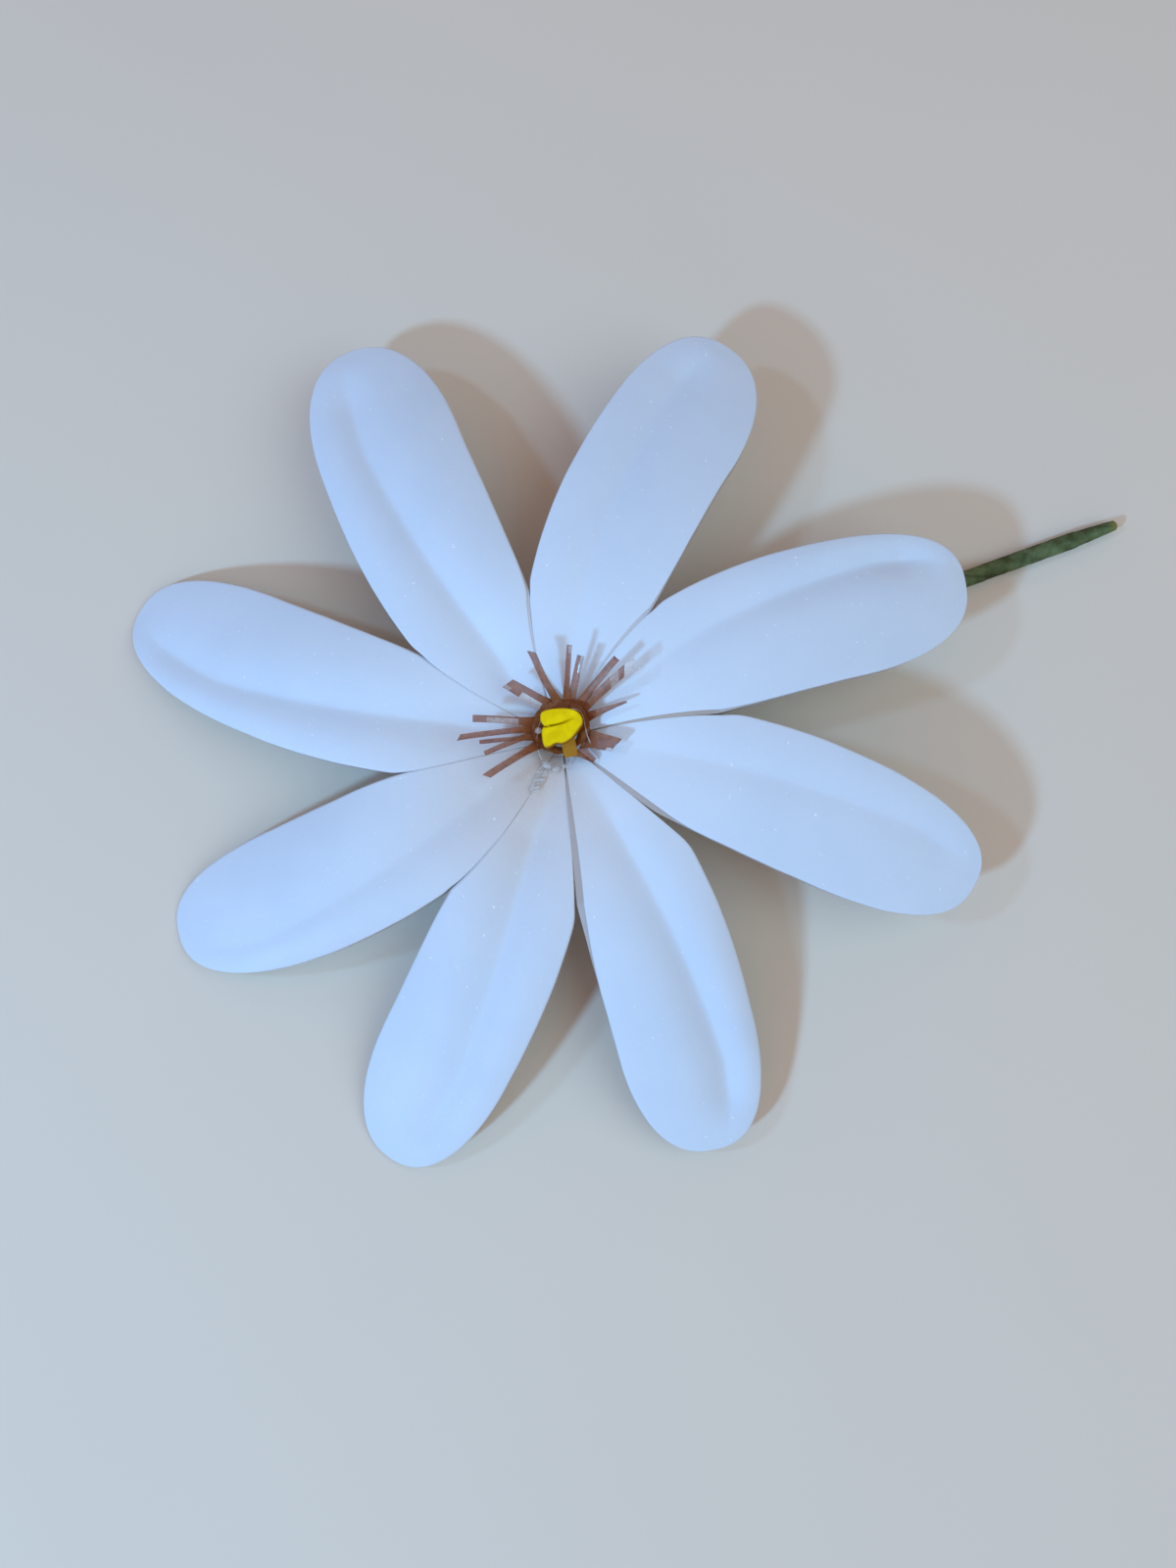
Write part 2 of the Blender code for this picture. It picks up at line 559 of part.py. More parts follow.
def add_object(name, points, faces, material, origin):
    """Make a mesh object whose points are in millimetres, with its faces turned outwards."""
    mesh = bpy.data.meshes.new(name)
    mesh.from_pydata((np.asarray(points) * MM).tolist(), [], faces)
    work = bmesh.new()
    work.from_mesh(mesh)
    bmesh.ops.triangulate(work, faces=[face for face in work.faces if len(face.verts) > 3])
    bmesh.ops.recalc_face_normals(work, faces=work.faces)
    work.to_mesh(mesh)
    work.free()
    mesh.materials.append(material)
    mesh.shade_smooth()
    mesh.set_sharp_from_angle(angle=math.radians(40.0))
    thing = bpy.data.objects.new(name, mesh)
    bpy.context.scene.collection.objects.link(thing)
    thing.parent = origin
    return thing


def add_material(name, color, roughness):
    """A plain finish for one sub-part."""
    material = bpy.data.materials.new(name)
    material.use_nodes = True
    shader = material.node_tree.nodes["Principled BSDF"]
    shader.inputs["Base Color"].default_value = (*color, 1.0)
    shader.inputs["Roughness"].default_value = roughness
    shader.inputs["Metallic"].default_value = 0.0
    return material


def apply_boolean(thing, operation, cutter=None, collection=None):
    """Join or cut an object by a Boolean, and keep only the result."""
    modifier = thing.modifiers.new(operation.lower(), "BOOLEAN")
    modifier.operation = operation
    modifier.solver = "EXACT"
    if collection:
        modifier.operand_type = "COLLECTION"
        modifier.collection = collection
    else:
        modifier.object = cutter
    graph = bpy.context.evaluated_depsgraph_get()
    mesh = bpy.data.meshes.new_from_object(thing.evaluated_get(graph))
    thing.modifiers.clear()
    thing.data = mesh
    work = bmesh.new()
    work.from_mesh(mesh)
    bmesh.ops.remove_doubles(work, verts=work.verts, dist=1e-6)
    bmesh.ops.triangulate(work, faces=work.faces)
    work.to_mesh(mesh)
    work.free()
    for other in ([cutter] if cutter else list(collection.objects)):
        bpy.data.objects.remove(other)


def build_petals(origin):
    """Make the eight petals, clockwise from the upper left."""
    foam = add_material("white_foam", (0.86, 0.88, 0.9), 0.7)
    for index, petal in enumerate(PETALS):
        points, faces = petal_mesh(petal, (SEAMS[index - 1], SEAMS[index]))
        add_object(f"petal_{index + 1}", points, faces, foam, origin)


def build_fringe(origin):
    """Make the collar and join the strips to it."""
    film = add_material("brown_film", (0.26, 0.12, 0.07), 0.35)
    points, faces = collar_mesh()
    collar = add_object("stamen_fringe", place(points), faces, film, origin)
    strips = bpy.data.collections.new("strips")
    bpy.context.scene.collection.children.link(strips)
    for strip in STRIPS:
        points, faces = strip_mesh(strip)
        bar = add_object("strip", place(points), faces, film, origin)
        bpy.context.scene.collection.objects.unlink(bar)
        strips.objects.link(bar)
    apply_boolean(collar, "UNION", collection=strips)
    bpy.data.collections.remove(strips)


def build_middle(origin):
    """Make the pistil with its fold, and the glue under it."""
    yellow = add_material("yellow_foam", (0.75, 0.66, 0.02), 0.65)
    glue = add_material("clear_glue", (0.75, 0.75, 0.72), 0.2)
    points, faces = pistil_mesh()
    pistil = add_object("pistil", place(points), faces, yellow, origin)
    points, faces = fold_cutter_mesh()
    cutter = add_object("fold", place(points), faces, yellow, origin)
    apply_boolean(pistil, "DIFFERENCE", cutter=cutter)
    points, faces = plug_mesh()
    add_object("hot_glue", place(points), faces, glue, origin)


def build_stem(origin):
    """Make the tape and the wire in it."""
    tape = add_material("green_tape", (0.09, 0.16, 0.07), 0.75)
    wire = add_material("steel_wire", (0.35, 0.36, 0.36), 0.4)
    wire.node_tree.nodes["Principled BSDF"].inputs["Metallic"].default_value = 1.0
    points, faces = tape_mesh()
    add_object("stem_tape", points, faces, tape, origin)
    points, faces = wire_mesh()
    add_object("stem_wire", points, faces, wire, origin)


def centre_on_origin(origin):
    """Shift the flower so that the middle of its box stands over the origin."""
    bpy.context.view_layer.update()
    corners = [thing.matrix_world @ Vector(corner)
               for thing in bpy.context.scene.objects if thing.type == "MESH"
               for corner in thing.bound_box]
    for axis in (0, 1):
        values = [corner[axis] for corner in corners]
        origin.location[axis] = -(min(values) + max(values)) / 2


def main():
    """Build the whole flower."""
    for thing in list(bpy.data.objects):
        bpy.data.objects.remove(thing)
    origin = bpy.data.objects.new("flower", None)
    bpy.context.scene.collection.objects.link(origin)
    build_petals(origin)
    build_fringe(origin)
    build_middle(origin)
    build_stem(origin)
    centre_on_origin(origin)


main()
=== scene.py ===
"""Looks of a craft tiare flower of white foam, lying face up on its petal tips and its taped stem.

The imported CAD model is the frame, and it stays where it is. Each of its pieces but the wire is replaced
by a finer one on the same measures: petals with a pressed crease and a scissor-cut edge, a fringe of
thin film, a folded foam pistil, hot-melt glue with its threads, and a stem wound with paper tape.

Lengths are in millimetres and angles in degrees, anticlockwise from +X seen from above. The head is
worked out in a frame of its own, with z = 0 at the throat of the petals' funnel, and is then leaned,
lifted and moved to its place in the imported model. Meshes are in metres.
"""

from __future__ import annotations

import logging
import math
from dataclasses import dataclass, replace
from enum import Enum

import bmesh
import bpy
import numpy as np
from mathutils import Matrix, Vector

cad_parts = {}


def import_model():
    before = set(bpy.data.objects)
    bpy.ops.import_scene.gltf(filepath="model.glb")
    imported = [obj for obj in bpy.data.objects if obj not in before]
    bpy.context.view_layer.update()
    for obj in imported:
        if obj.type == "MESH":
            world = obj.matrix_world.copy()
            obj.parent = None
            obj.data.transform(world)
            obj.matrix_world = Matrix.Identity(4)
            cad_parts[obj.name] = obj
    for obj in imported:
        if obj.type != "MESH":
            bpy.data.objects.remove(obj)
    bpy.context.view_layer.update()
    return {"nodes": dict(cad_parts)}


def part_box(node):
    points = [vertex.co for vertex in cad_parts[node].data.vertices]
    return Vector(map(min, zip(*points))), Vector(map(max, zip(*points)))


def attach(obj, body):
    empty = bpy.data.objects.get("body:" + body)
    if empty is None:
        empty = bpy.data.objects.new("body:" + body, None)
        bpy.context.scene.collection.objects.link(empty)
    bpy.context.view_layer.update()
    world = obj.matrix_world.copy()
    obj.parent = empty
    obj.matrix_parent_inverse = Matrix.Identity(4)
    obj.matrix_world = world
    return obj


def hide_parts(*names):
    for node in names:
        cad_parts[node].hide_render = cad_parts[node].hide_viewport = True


log = logging.getLogger("tiare_flower")

Span = tuple[float, float]
Spot = tuple[float, float, float]
Array = np.ndarray
Socket = bpy.types.NodeSocket

MM = 0.001
WELD_DISTANCE = 1e-7
SHARP_ANGLE = 55.0
RIPPLE_HEADINGS = (0.4, 2.0, 3.7, 5.1)   # of the four waves of a ripple, in radians
RIPPLE_FINER = 1.37                      # each wave is this much finer than the last
RIPPLE_SUM = 2.6                         # their sum seldom goes past this
RIPPLE_SEED = 1.7                        # radians that a seed of 1 moves the first wave, 1 more each next
RIPPLE_SHIFT = 2.3                       # radians that each wave is ahead of the last besides


class Slot(Enum):
    """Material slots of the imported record."""

    WHITE_FOAM = "white_foam"
    BROWN_FILM = "brown_film"
    YELLOW_FOAM = "yellow_foam"
    CLEAR_GLUE = "clear_glue"
    GREEN_TAPE = "green_tape"
    STEEL_WIRE = "steel_wire"


# Curves and numbers


def smoothstep(value: Array | float, low: float, high: float) -> Array:
    """Ease from 0 at low to 1 at high with a cubic."""
    share = np.clip((value - low) / (high - low), 0.0, 1.0)
    return share * share * (3.0 - 2.0 * share)


def bell(value: Array, width: float) -> Array:
    """Bell curve: 1 at zero, and falling off to both sides over a width."""
    return np.exp(-(value / width) ** 2)


def ripple(first: Array, second: Array, wave: float, seed: float) -> Array:
    """Smooth uneven ripple between about -1 and 1 over two coordinates.

    It is a sum of four sine waves that cross at uneven angles, the next finer than the last.
    """
    total = np.zeros(np.broadcast(first, second).shape)
    for order, turn in enumerate(RIPPLE_HEADINGS):
        fine = 2.0 * math.pi / wave * RIPPLE_FINER ** order
        phase = seed * (RIPPLE_SEED + order) + RIPPLE_SHIFT * order
        total = total + np.sin(fine * (first * math.cos(turn) + second * math.sin(turn)) + phase)
    return total / RIPPLE_SUM


def around(count: int) -> Array:
    """Even angles once round a circle, in radians."""
    return np.arange(count) * 2.0 * math.pi / count


def towards(azimuth: float) -> Array:
    """Level direction of an azimuth, as x and y."""
    return np.array([math.cos(math.radians(azimuth)), math.sin(math.radians(azimuth))])


def off_azimuth(azimuth: Array, start: float) -> Array:
    """How far azimuths are from a given one, between -180 and 180."""
    return (azimuth - start + 180.0) % 360.0 - 180.0


def between(at: Array, known: Array, rows: Array) -> Array:
    """Rows of numbers that are known at some places, interpolated at others."""
    return np.stack([np.interp(at, known, column) for column in rows.T], axis=-1)


def strung(corners: Array, count: int) -> Array:
    """Points along a line of corners, as many between any two of them."""
    return between(np.linspace(0.0, len(corners) - 1.0, count), np.arange(len(corners)), corners)


def resampled(path: Array, count: int) -> Array:
    """The same path with its points at even distances."""
    run = np.concatenate([[0.0], np.cumsum(np.linalg.norm(np.diff(path, axis=0), axis=1))])
    return between(np.linspace(0.0, run[-1], count), run, path)


def cubic(corners: tuple, count: int) -> Array:
    """Points of the cubic curve that runs from the first of four corners to the last."""
    t = np.linspace(0.0, 1.0, count)[:, None]
    weights = ((1 - t) ** 3, 3 * (1 - t) ** 2 * t, 3 * (1 - t) * t ** 2, t ** 3)
    return sum(weight * np.asarray(corner) for weight, corner in zip(weights, corners))


def frames(path: Array, side: Array) -> tuple[Array, Array]:
    """Sideways and upward directions along a path, the first as near to a given side as can be."""
    tangent = np.gradient(path, axis=0)
    tangent /= np.linalg.norm(tangent, axis=1, keepdims=True)
    across = side - tangent * np.sum(tangent * side, axis=1, keepdims=True)
    across /= np.linalg.norm(across, axis=1, keepdims=True)
    return across, np.cross(tangent, across)


def tube(path: Array, radii: Array, side: Array, sides: int) -> Array:
    """Grid of a tube round a path: a circle square to the path at each point.

    Args:
        path: Points along the middle.
        radii: Radius at each point, or at each point and angle.
        side: Direction that the angle 90 degrees off the ring's start faces.
        sides: Points round the ring.

    Returns:
        The grid of points, path points by sides by three.
    """
    across, upward = frames(path, side)
    angle = around(sides) + math.pi / sides + math.pi / 2
    ring = np.cos(angle)[None, :, None] * across[:, None] + np.sin(angle)[None, :, None] * upward[:, None]
    radius = radii[:, None] if radii.ndim == 1 else radii
    return path[:, None] + radius[..., None] * ring


def turned(height: Array, radius: Array, sides: int) -> Array:
    """Grid of a profile turned round the axis: a ring of points at each height."""
    angle = around(sides)[None, :]
    rows = np.broadcast_arrays(radius * np.cos(angle), radius * np.sin(angle), height[:, None])
    return np.stack(rows, axis=-1)


def thickened(sheet: Array, half: Array) -> Array:
    """Grid of loops round a sheet: over its upper face and back under its lower face."""
    return np.concatenate([sheet + half, (sheet - half)[:, ::-1]], axis=1)


# Meshes


@dataclass
class Surface:
    """A closed surface.

    points holds one row of x, y and z for each point, faces the point numbers of each face, values one
    named number for each point, and finishes the number of the finish that each face has.
    """

    points: Array
    faces: list[list[int]]
    values: dict[str, Array]
    finishes: Array


def loft(grid: Array, values: dict[str, Array] | None = None,
         finishes: Array | None = None) -> Surface:
    """Close a grid of points into a surface: each row is a loop, and each end row is capped.

    Args:
        grid: Points, rows by columns by three.
        values: Named numbers, rows by columns.
        finishes: Number of the finish of each quad, rows less one by columns.

    Returns:
        The closed surface, with one quad between four neighbouring points.
    """
    number = np.arange(grid.shape[0] * grid.shape[1]).reshape(grid.shape[:2])
    follow = np.roll(number, -1, axis=1)
    quads = np.stack([number[:-1], follow[:-1], follow[1:], number[1:]], axis=-1).reshape(-1, 4)
    own = np.zeros(len(quads), dtype=int) if finishes is None else finishes.reshape(-1)
    return Surface(points=grid.reshape(-1, 3),
                   faces=quads.tolist() + [number[0][::-1].tolist(), number[-1].tolist()],
                   values={name: numbers.reshape(-1) for name, numbers in (values or {}).items()},
                   finishes=np.concatenate([own, own[:1], own[-1:]]))


def joined(surfaces: list[Surface]) -> Surface:
    """Put several surfaces with the same named values into one."""
    starts = np.cumsum([0] + [len(surface.points) for surface in surfaces[:-1]])
    faces = [[int(start) + number for number in face]
             for start, surface in zip(starts, surfaces) for face in surface.faces]
    return Surface(points=np.concatenate([surface.points for surface in surfaces]), faces=faces,
                   values={name: np.concatenate([surface.values[name] for surface in surfaces])
                           for name in surfaces[0].values},
                   finishes=np.concatenate([surface.finishes for surface in surfaces]))


def held(name: str, data: bpy.types.ID) -> bpy.types.Object:
    """Put an object that holds a mesh, a light or a camera into the scene."""
    holder = bpy.data.objects.new(name, data)
    bpy.context.scene.collection.objects.link(holder)
    return holder


def add_piece(name: str, surface: Surface, materials: list[bpy.types.Material],
              stands_for: str) -> None:
    """Make a surface a piece of the flower that replaces one CAD node and rides on the root body.

    Doubled points at seams and poles are welded and the faces turned outwards.

    Args:
        name: Name of the piece.
        surface: Its surface, in millimetres.
        materials: Its finishes, in the order of the surface's finish numbers.
        stands_for: The CAD node that the piece replaces.
    """
    mesh = bpy.data.meshes.new(name)
    mesh.from_pydata((surface.points * MM).tolist(), [], surface.faces)
    for label, numbers in surface.values.items():
        layer = mesh.attributes.new(label, "FLOAT", "POINT")
        layer.data.foreach_set("value", np.ascontiguousarray(numbers, dtype=np.float32))
    mesh.polygons.foreach_set("material_index", np.ascontiguousarray(surface.finishes, dtype=np.int32))
    work = bmesh.new()
    work.from_mesh(mesh)
    bmesh.ops.remove_doubles(work, verts=work.verts, dist=WELD_DISTANCE)
    bmesh.ops.recalc_face_normals(work, faces=work.faces)
    work.to_mesh(mesh)
    work.free()
    for material in materials:
        mesh.materials.append(material)
    mesh.shade_smooth()
    mesh.set_sharp_from_angle(angle=math.radians(SHARP_ANGLE))
    piece = held(name, mesh)
    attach(piece, "root")
    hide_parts(stands_for)
    log.info("%s stands for %s with %d faces", name, stands_for, len(mesh.polygons))


# Finishes


MIX_INPUTS = (0, 6, 7)                   # of a mix node: its share and its two colours
MIX_OUTPUT = 2                           # and their mix


@dataclass(frozen=True)
class Noise:
    """A noise texture whose blotches have a size in millimetres."""

    size: float
    detail: float = 2.0
    kept: float = 0.55           # share of its strength that each finer layer keeps


@dataclass(frozen=True)
class Ramp:
    """A value that goes from one end to the other while its source goes through a span.

    The source is a noise, or the name under which the mesh holds a number at each point.
    """

    source: Noise | str
    span: Span = (0.3, 0.7)      # a noise seldom leaves this range
    ends: Span = (0.0, 1.0)


def linear(hex_colour: str) -> tuple[float, float, float, float]:
    """Turn an sRGB hex colour to linear light."""
    shares = (int(hex_colour[start:start + 2], 16) / 255.0 for start in (1, 3, 5))
    return (*(share / 12.92 if share <= 0.04045 else ((share + 0.055) / 1.055) ** 2.4
              for share in shares), 1.0)


def add_node(tree: bpy.types.NodeTree, kind: str, links: dict | None = None,
             **settings: object) -> bpy.types.Node:
    """Add a node.

    Args:
        tree: Node tree that takes it.
        kind: Blender's name of the node's type.
        links: For each input, by name or number, the socket that feeds it or its fixed value.
        **settings: The node's own properties.

    Returns:
        The new node.
    """
    node = tree.nodes.new(kind)
    for name, value in settings.items():
        setattr(node, name, value)
    for key, value in (links or {}).items():
        if isinstance(value, Socket):
            tree.links.new(value, node.inputs[key])
        else:
            node.inputs[key].default_value = value
    return node


class Shading:
    """The node tree of a material, in which each noise, ramp and number of the mesh is made once."""

    def __init__(self, tree: bpy.types.NodeTree) -> None:
        """Start with the shader's inputs and the object's coordinates."""
        self.tree = tree
        self.inputs = tree.nodes["Principled BSDF"].inputs
        self.place = add_node(tree, "ShaderNodeTexCoord").outputs["Object"]
        self.made: dict[Ramp | Noise | str, Socket] = {}

    def socket(self, value: Ramp | Noise | str) -> Socket:
        """Socket of a ramp, of a noise, or of a number that the mesh holds under a name."""
        if value not in self.made:
            self.made[value] = self.make(value)
        return self.made[value]

    def make(self, value: Ramp | Noise | str) -> Socket:
        """Make the nodes behind such a socket."""
        if isinstance(value, Ramp):
            return add_node(self.tree, "ShaderNodeMapRange",
                            {"Value": self.socket(value.source),
                             "From Min": value.span[0], "From Max": value.span[1],
                             "To Min": value.ends[0], "To Max": value.ends[1]}).outputs["Result"]
        if isinstance(value, Noise):
            return add_node(self.tree, "ShaderNodeTexNoise",
                            {"Vector": self.place, "Scale": 1.0 / (value.size * MM),
                             "Detail": value.detail, "Roughness": value.kept}).outputs["Fac"]
        return add_node(self.tree, "ShaderNodeAttribute", attribute_name=value).outputs["Fac"]

    def feed(self, label: str, socket: Socket) -> None:
        """Let a socket feed one of the shader's inputs."""
        self.tree.links.new(socket, self.inputs[label])


@dataclass(frozen=True)
class Finish:
    """A finish, named for the real material."""

    name: str
    tones: tuple[str, str]       # two colours,
    clouds: Ramp                 # and what mixes them
    rough: Ramp | float
    layers: tuple[tuple[Ramp | str, str], ...] = ()      # where to lay a colour over them, and which
    relief: Noise | None = None
    depth: float = 0.0           # of the relief
    cover: Ramp | None = None    # share of the light that one face stops, if not all of it
    ior: float = 1.5
    gloss: float = 0.5           # strength of its mirror reflection, 0.5 for what its ior gives
    even: tuple[tuple[str, object], ...] = ()            # further even values of the shader

    def material(self) -> bpy.types.Material:
        """Build the material."""
        material = bpy.data.materials.new(self.name)
        material.use_nodes = True
        shading = Shading(material.node_tree)
        for label, value in (("IOR", self.ior), ("Specular IOR Level", self.gloss), *self.even):
            shading.inputs[label].default_value = value
        colour = linear(self.tones[0])
        for share, tone in ((self.clouds, self.tones[1]), *self.layers):
            colour = add_node(shading.tree, "ShaderNodeMix",
                              dict(zip(MIX_INPUTS, (shading.socket(share), colour, linear(tone)))),
                              data_type="RGBA").outputs[MIX_OUTPUT]
        shading.feed("Base Color", colour)
        if isinstance(self.rough, Ramp):
            shading.feed("Roughness", shading.socket(self.rough))
        else:
            shading.inputs["Roughness"].default_value = self.rough
        if self.relief:
            bump = add_node(shading.tree, "ShaderNodeBump",
                            {"Height": shading.socket(self.relief), "Distance": self.depth * MM,
                             "Strength": 1.0})
            shading.feed("Normal", bump.outputs["Normal"])
        if self.cover:
            shading.feed("Alpha", shading.socket(self.cover))
        return material


# EVA craft foam sheet, heat pressed and cut with scissors. Its closed skin gives a soft satin white with
# hardly any gloss and a little light inside, faint clouds where the sheet was pressed, a few small white
# specks and a fine pebble, coarser than the real cells, which are too fine to show. Painted light makes it
# brighter near the middle. One side is greyer, partly glue that dulled it and partly painted shade with
# bounced yellow light. Its cut edges are greyer for their open cells, and as painted shade in the seams.
PEBBLE = Noise(0.45, detail=3.0)
WHITE_FOAM = Finish(
    name="eva_foam_white_pressed", tones=("#CED9E5", "#CAD6E3"), clouds=Ramp(Noise(11.0), (0.35, 0.65)),
    layers=(("painted_middle_light", "#DEE9F4"), ("soiled_and_shaded", "#CDB9A8"),
            (Ramp(Noise(0.7), span=(0.71, 0.77), ends=(0.0, 0.8)), "#F4F7FA"), ("cut", "#B5A79E")),
    rough=Ramp(PEBBLE, ends=(0.57, 0.72)), relief=PEBBLE, depth=0.026,
    even=(("Subsurface Weight", 0.15), ("Subsurface Radius", (1.0, 1.0, 1.0)),
          ("Subsurface Scale", 0.8 * MM)))

# Brown polyester film, cut into strips. Smooth and half clear: a warm brown strip that lets a little of
# what is behind it through and casts a light shadow, and is dense and darker at the roots.
SCUFFS = Noise(0.5, detail=4.0)
BROWN_FILM = Finish(
    name="polyester_film_brown", tones=("#A25F36", "#8A4E2A"), clouds=Ramp(Noise(0.9), (0.4, 0.65)),
    layers=(("root", "#854E28"),), rough=Ramp(SCUFFS, (0.35, 0.7), ends=(0.38, 0.6)),
    relief=SCUFFS, depth=0.01, cover=Ramp("root", (0.0, 0.6), ends=(0.6, 1.0)), ior=1.6, gloss=0.35)

# The same film where its brown has rubbed off. It is almost invisible but for a faint warm frost and
# soft glints.
FROST = Ramp(Noise(0.7), (0.4, 0.7))
CLEAR_FILM = Finish(
    name="polyester_film_clear", tones=("#E4DDD6", "#CFC3B9"), clouds=FROST,
    rough=replace(FROST, ends=(0.12, 0.3)), cover=replace(FROST, ends=(0.22, 0.42)))

# And where a thin tint is left.
TINTED_FILM = replace(CLEAR_FILM, name="polyester_film_thin_brown", tones=("#B3917D", "#A3826F"),
                      cover=replace(FROST, ends=(0.4, 0.55)))

# Yellow EVA foam strip seen on its scissor-cut edge, a bright lemon yellow with open cells. Its sides have
# an ochre painted shade, warmed as if seen through the brown film, and the line where its halves meet has
# a dark painted shade of that crevice.
PORES = Noise(0.35, detail=3.0)
YELLOW_FOAM = Finish(
    name="eva_foam_yellow_cut", tones=("#FBDB00", "#EBC800"), clouds=Ramp(Noise(1.6), (0.4, 0.65)),
    layers=(("fold", "#7D6A00"), ("painted_side_shade", "#A87422")), rough=Ramp(PORES, ends=(0.5, 0.75)),
    relief=PORES, depth=0.05, gloss=0.08)

# Hot-melt glue, drawn into lumps and threads as it cooled. Milky and see-through, so that it takes the
# tone of what is under it, with sharp wet glints.
MILK = Ramp(Noise(1.4), (0.4, 0.7))
HOT_GLUE = Finish(
    name="hot_melt_glue", tones=("#E6E4E0", "#D2CDC8"), clouds=MILK,
    rough=replace(MILK, ends=(0.08, 0.25)), relief=Noise(0.4), depth=0.06,
    cover=replace(MILK, ends=(0.25, 0.6)), ior=1.48)

# Florist's tape: waxed crepe paper, stretched and wound on. Dull olive green with paler streaks where it
# was stretched thin, a dark line along each lap, and fine crinkles.
CRINKLES = Noise(0.5, detail=4.0)
PAPER_TAPE = Finish(
    name="waxed_crepe_paper_green", tones=("#3E4827", "#6C7E55"),
    clouds=Ramp(Noise(3.5, detail=4.0), (0.42, 0.68)), layers=(("lap", "#2C311A"), ("tip", "#7C7B3C")),
    rough=Ramp(CRINKLES, ends=(0.6, 0.85)), relief=CRINKLES, depth=0.06, gloss=0.25)

# Florist's wire of drawn mild steel: grey, half dull, with fine draw lines.
DRAW_LINES = Noise(0.2, detail=3.0)
STEEL_WIRE = Finish(
    name="mild_steel_drawn", tones=("#8D9093", "#6A6C6E"), clouds=Ramp(DRAW_LINES, (0.0, 1.0)),
    rough=Ramp(DRAW_LINES, ends=(0.3, 0.48)), relief=DRAW_LINES, depth=0.005,
    even=(("Metallic", 1.0),))

# Matt painted board for the floor: one pale warm grey with a barely seen roller texture.
PALE_BOARD = Finish(
    name="painted_board_pale", tones=("#DDD1C0", "#DACEBD"), clouds=Ramp(Noise(60.0), (0.0, 1.0)),
    rough=0.8, relief=Noise(1.2), depth=0.01)


# Where the head stands


@dataclass(frozen=True)
class HeadPlace:
    """Place of the head: leaned so that its high side is up, lifted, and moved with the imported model."""

    throat_height: float = 8.0
    lean: float = 4.0
    high_side: float = 50.0
    shift_x: float = 0.0
    shift_y: float = 0.0

    def turn(self) -> Array:
        """Rotation by the lean about a level hinge square to the high side, by Rodrigues' formula."""
        high, lean = math.radians(self.high_side), math.radians(self.lean)
        x, y = math.sin(high), -math.cos(high)
        cross = np.array([[0.0, 0.0, y], [0.0, 0.0, -x], [-y, x, 0.0]])
        return np.eye(3) + math.sin(lean) * cross + (1.0 - math.cos(lean)) * cross @ cross

    def put(self, points: Array) -> Array:
        """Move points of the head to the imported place, and press what would go through the floor flat."""
        placed = points @ self.turn().T + np.array([self.shift_x, self.shift_y, self.throat_height])
        placed[..., 2] = np.maximum(placed[..., 2], 0.0)
        return placed

    def moved(self, points: Array) -> Array:
        """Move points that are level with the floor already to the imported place."""
        return points + np.array([self.shift_x, self.shift_y, 0.0])


# Petals


@dataclass(frozen=True)
class Petal:
    """One foam petal."""

    azimuth: float           # where its claw stands
    length: float            # along the midline from the throat
    half_width: float
    turn: float              # clockwise turn of its midline from claw to tip
    tip_from: float          # share of the length where the round tip starts
    round_left: float        # how full the tip is on its anticlockwise side, where 2 is an ellipse
    round_right: float       # and on its clockwise side
    groove: float            # depth of the pressed crease at its inner station
    groove_out: float        # and at its outer station
    side: float              # crease off the midline at the inner station, as a share of the half width,
    drift: float             # anticlockwise, and how far that share grows to the outer station
    bow: float               # how far the flanks bow down to the edges
    roll: float              # rise across the free part of the petal, towards its anticlockwise side
    droop: float = 22.0      # slope of its tip below level
    reach: float = 4.1       # its crease flattens out over this distance


@dataclass(frozen=True)
class Seam:
    """Where a petal meets the next one clockwise, from the head's axis out to a notch."""

    azimuth: float           # of the notch
    notch: float             # radius of the notch
    swirl: float             # how far the seam turns anticlockwise on its way in to the axis
    bevel: float             # angle by which the slanting cut of the first petal sets back its upper face


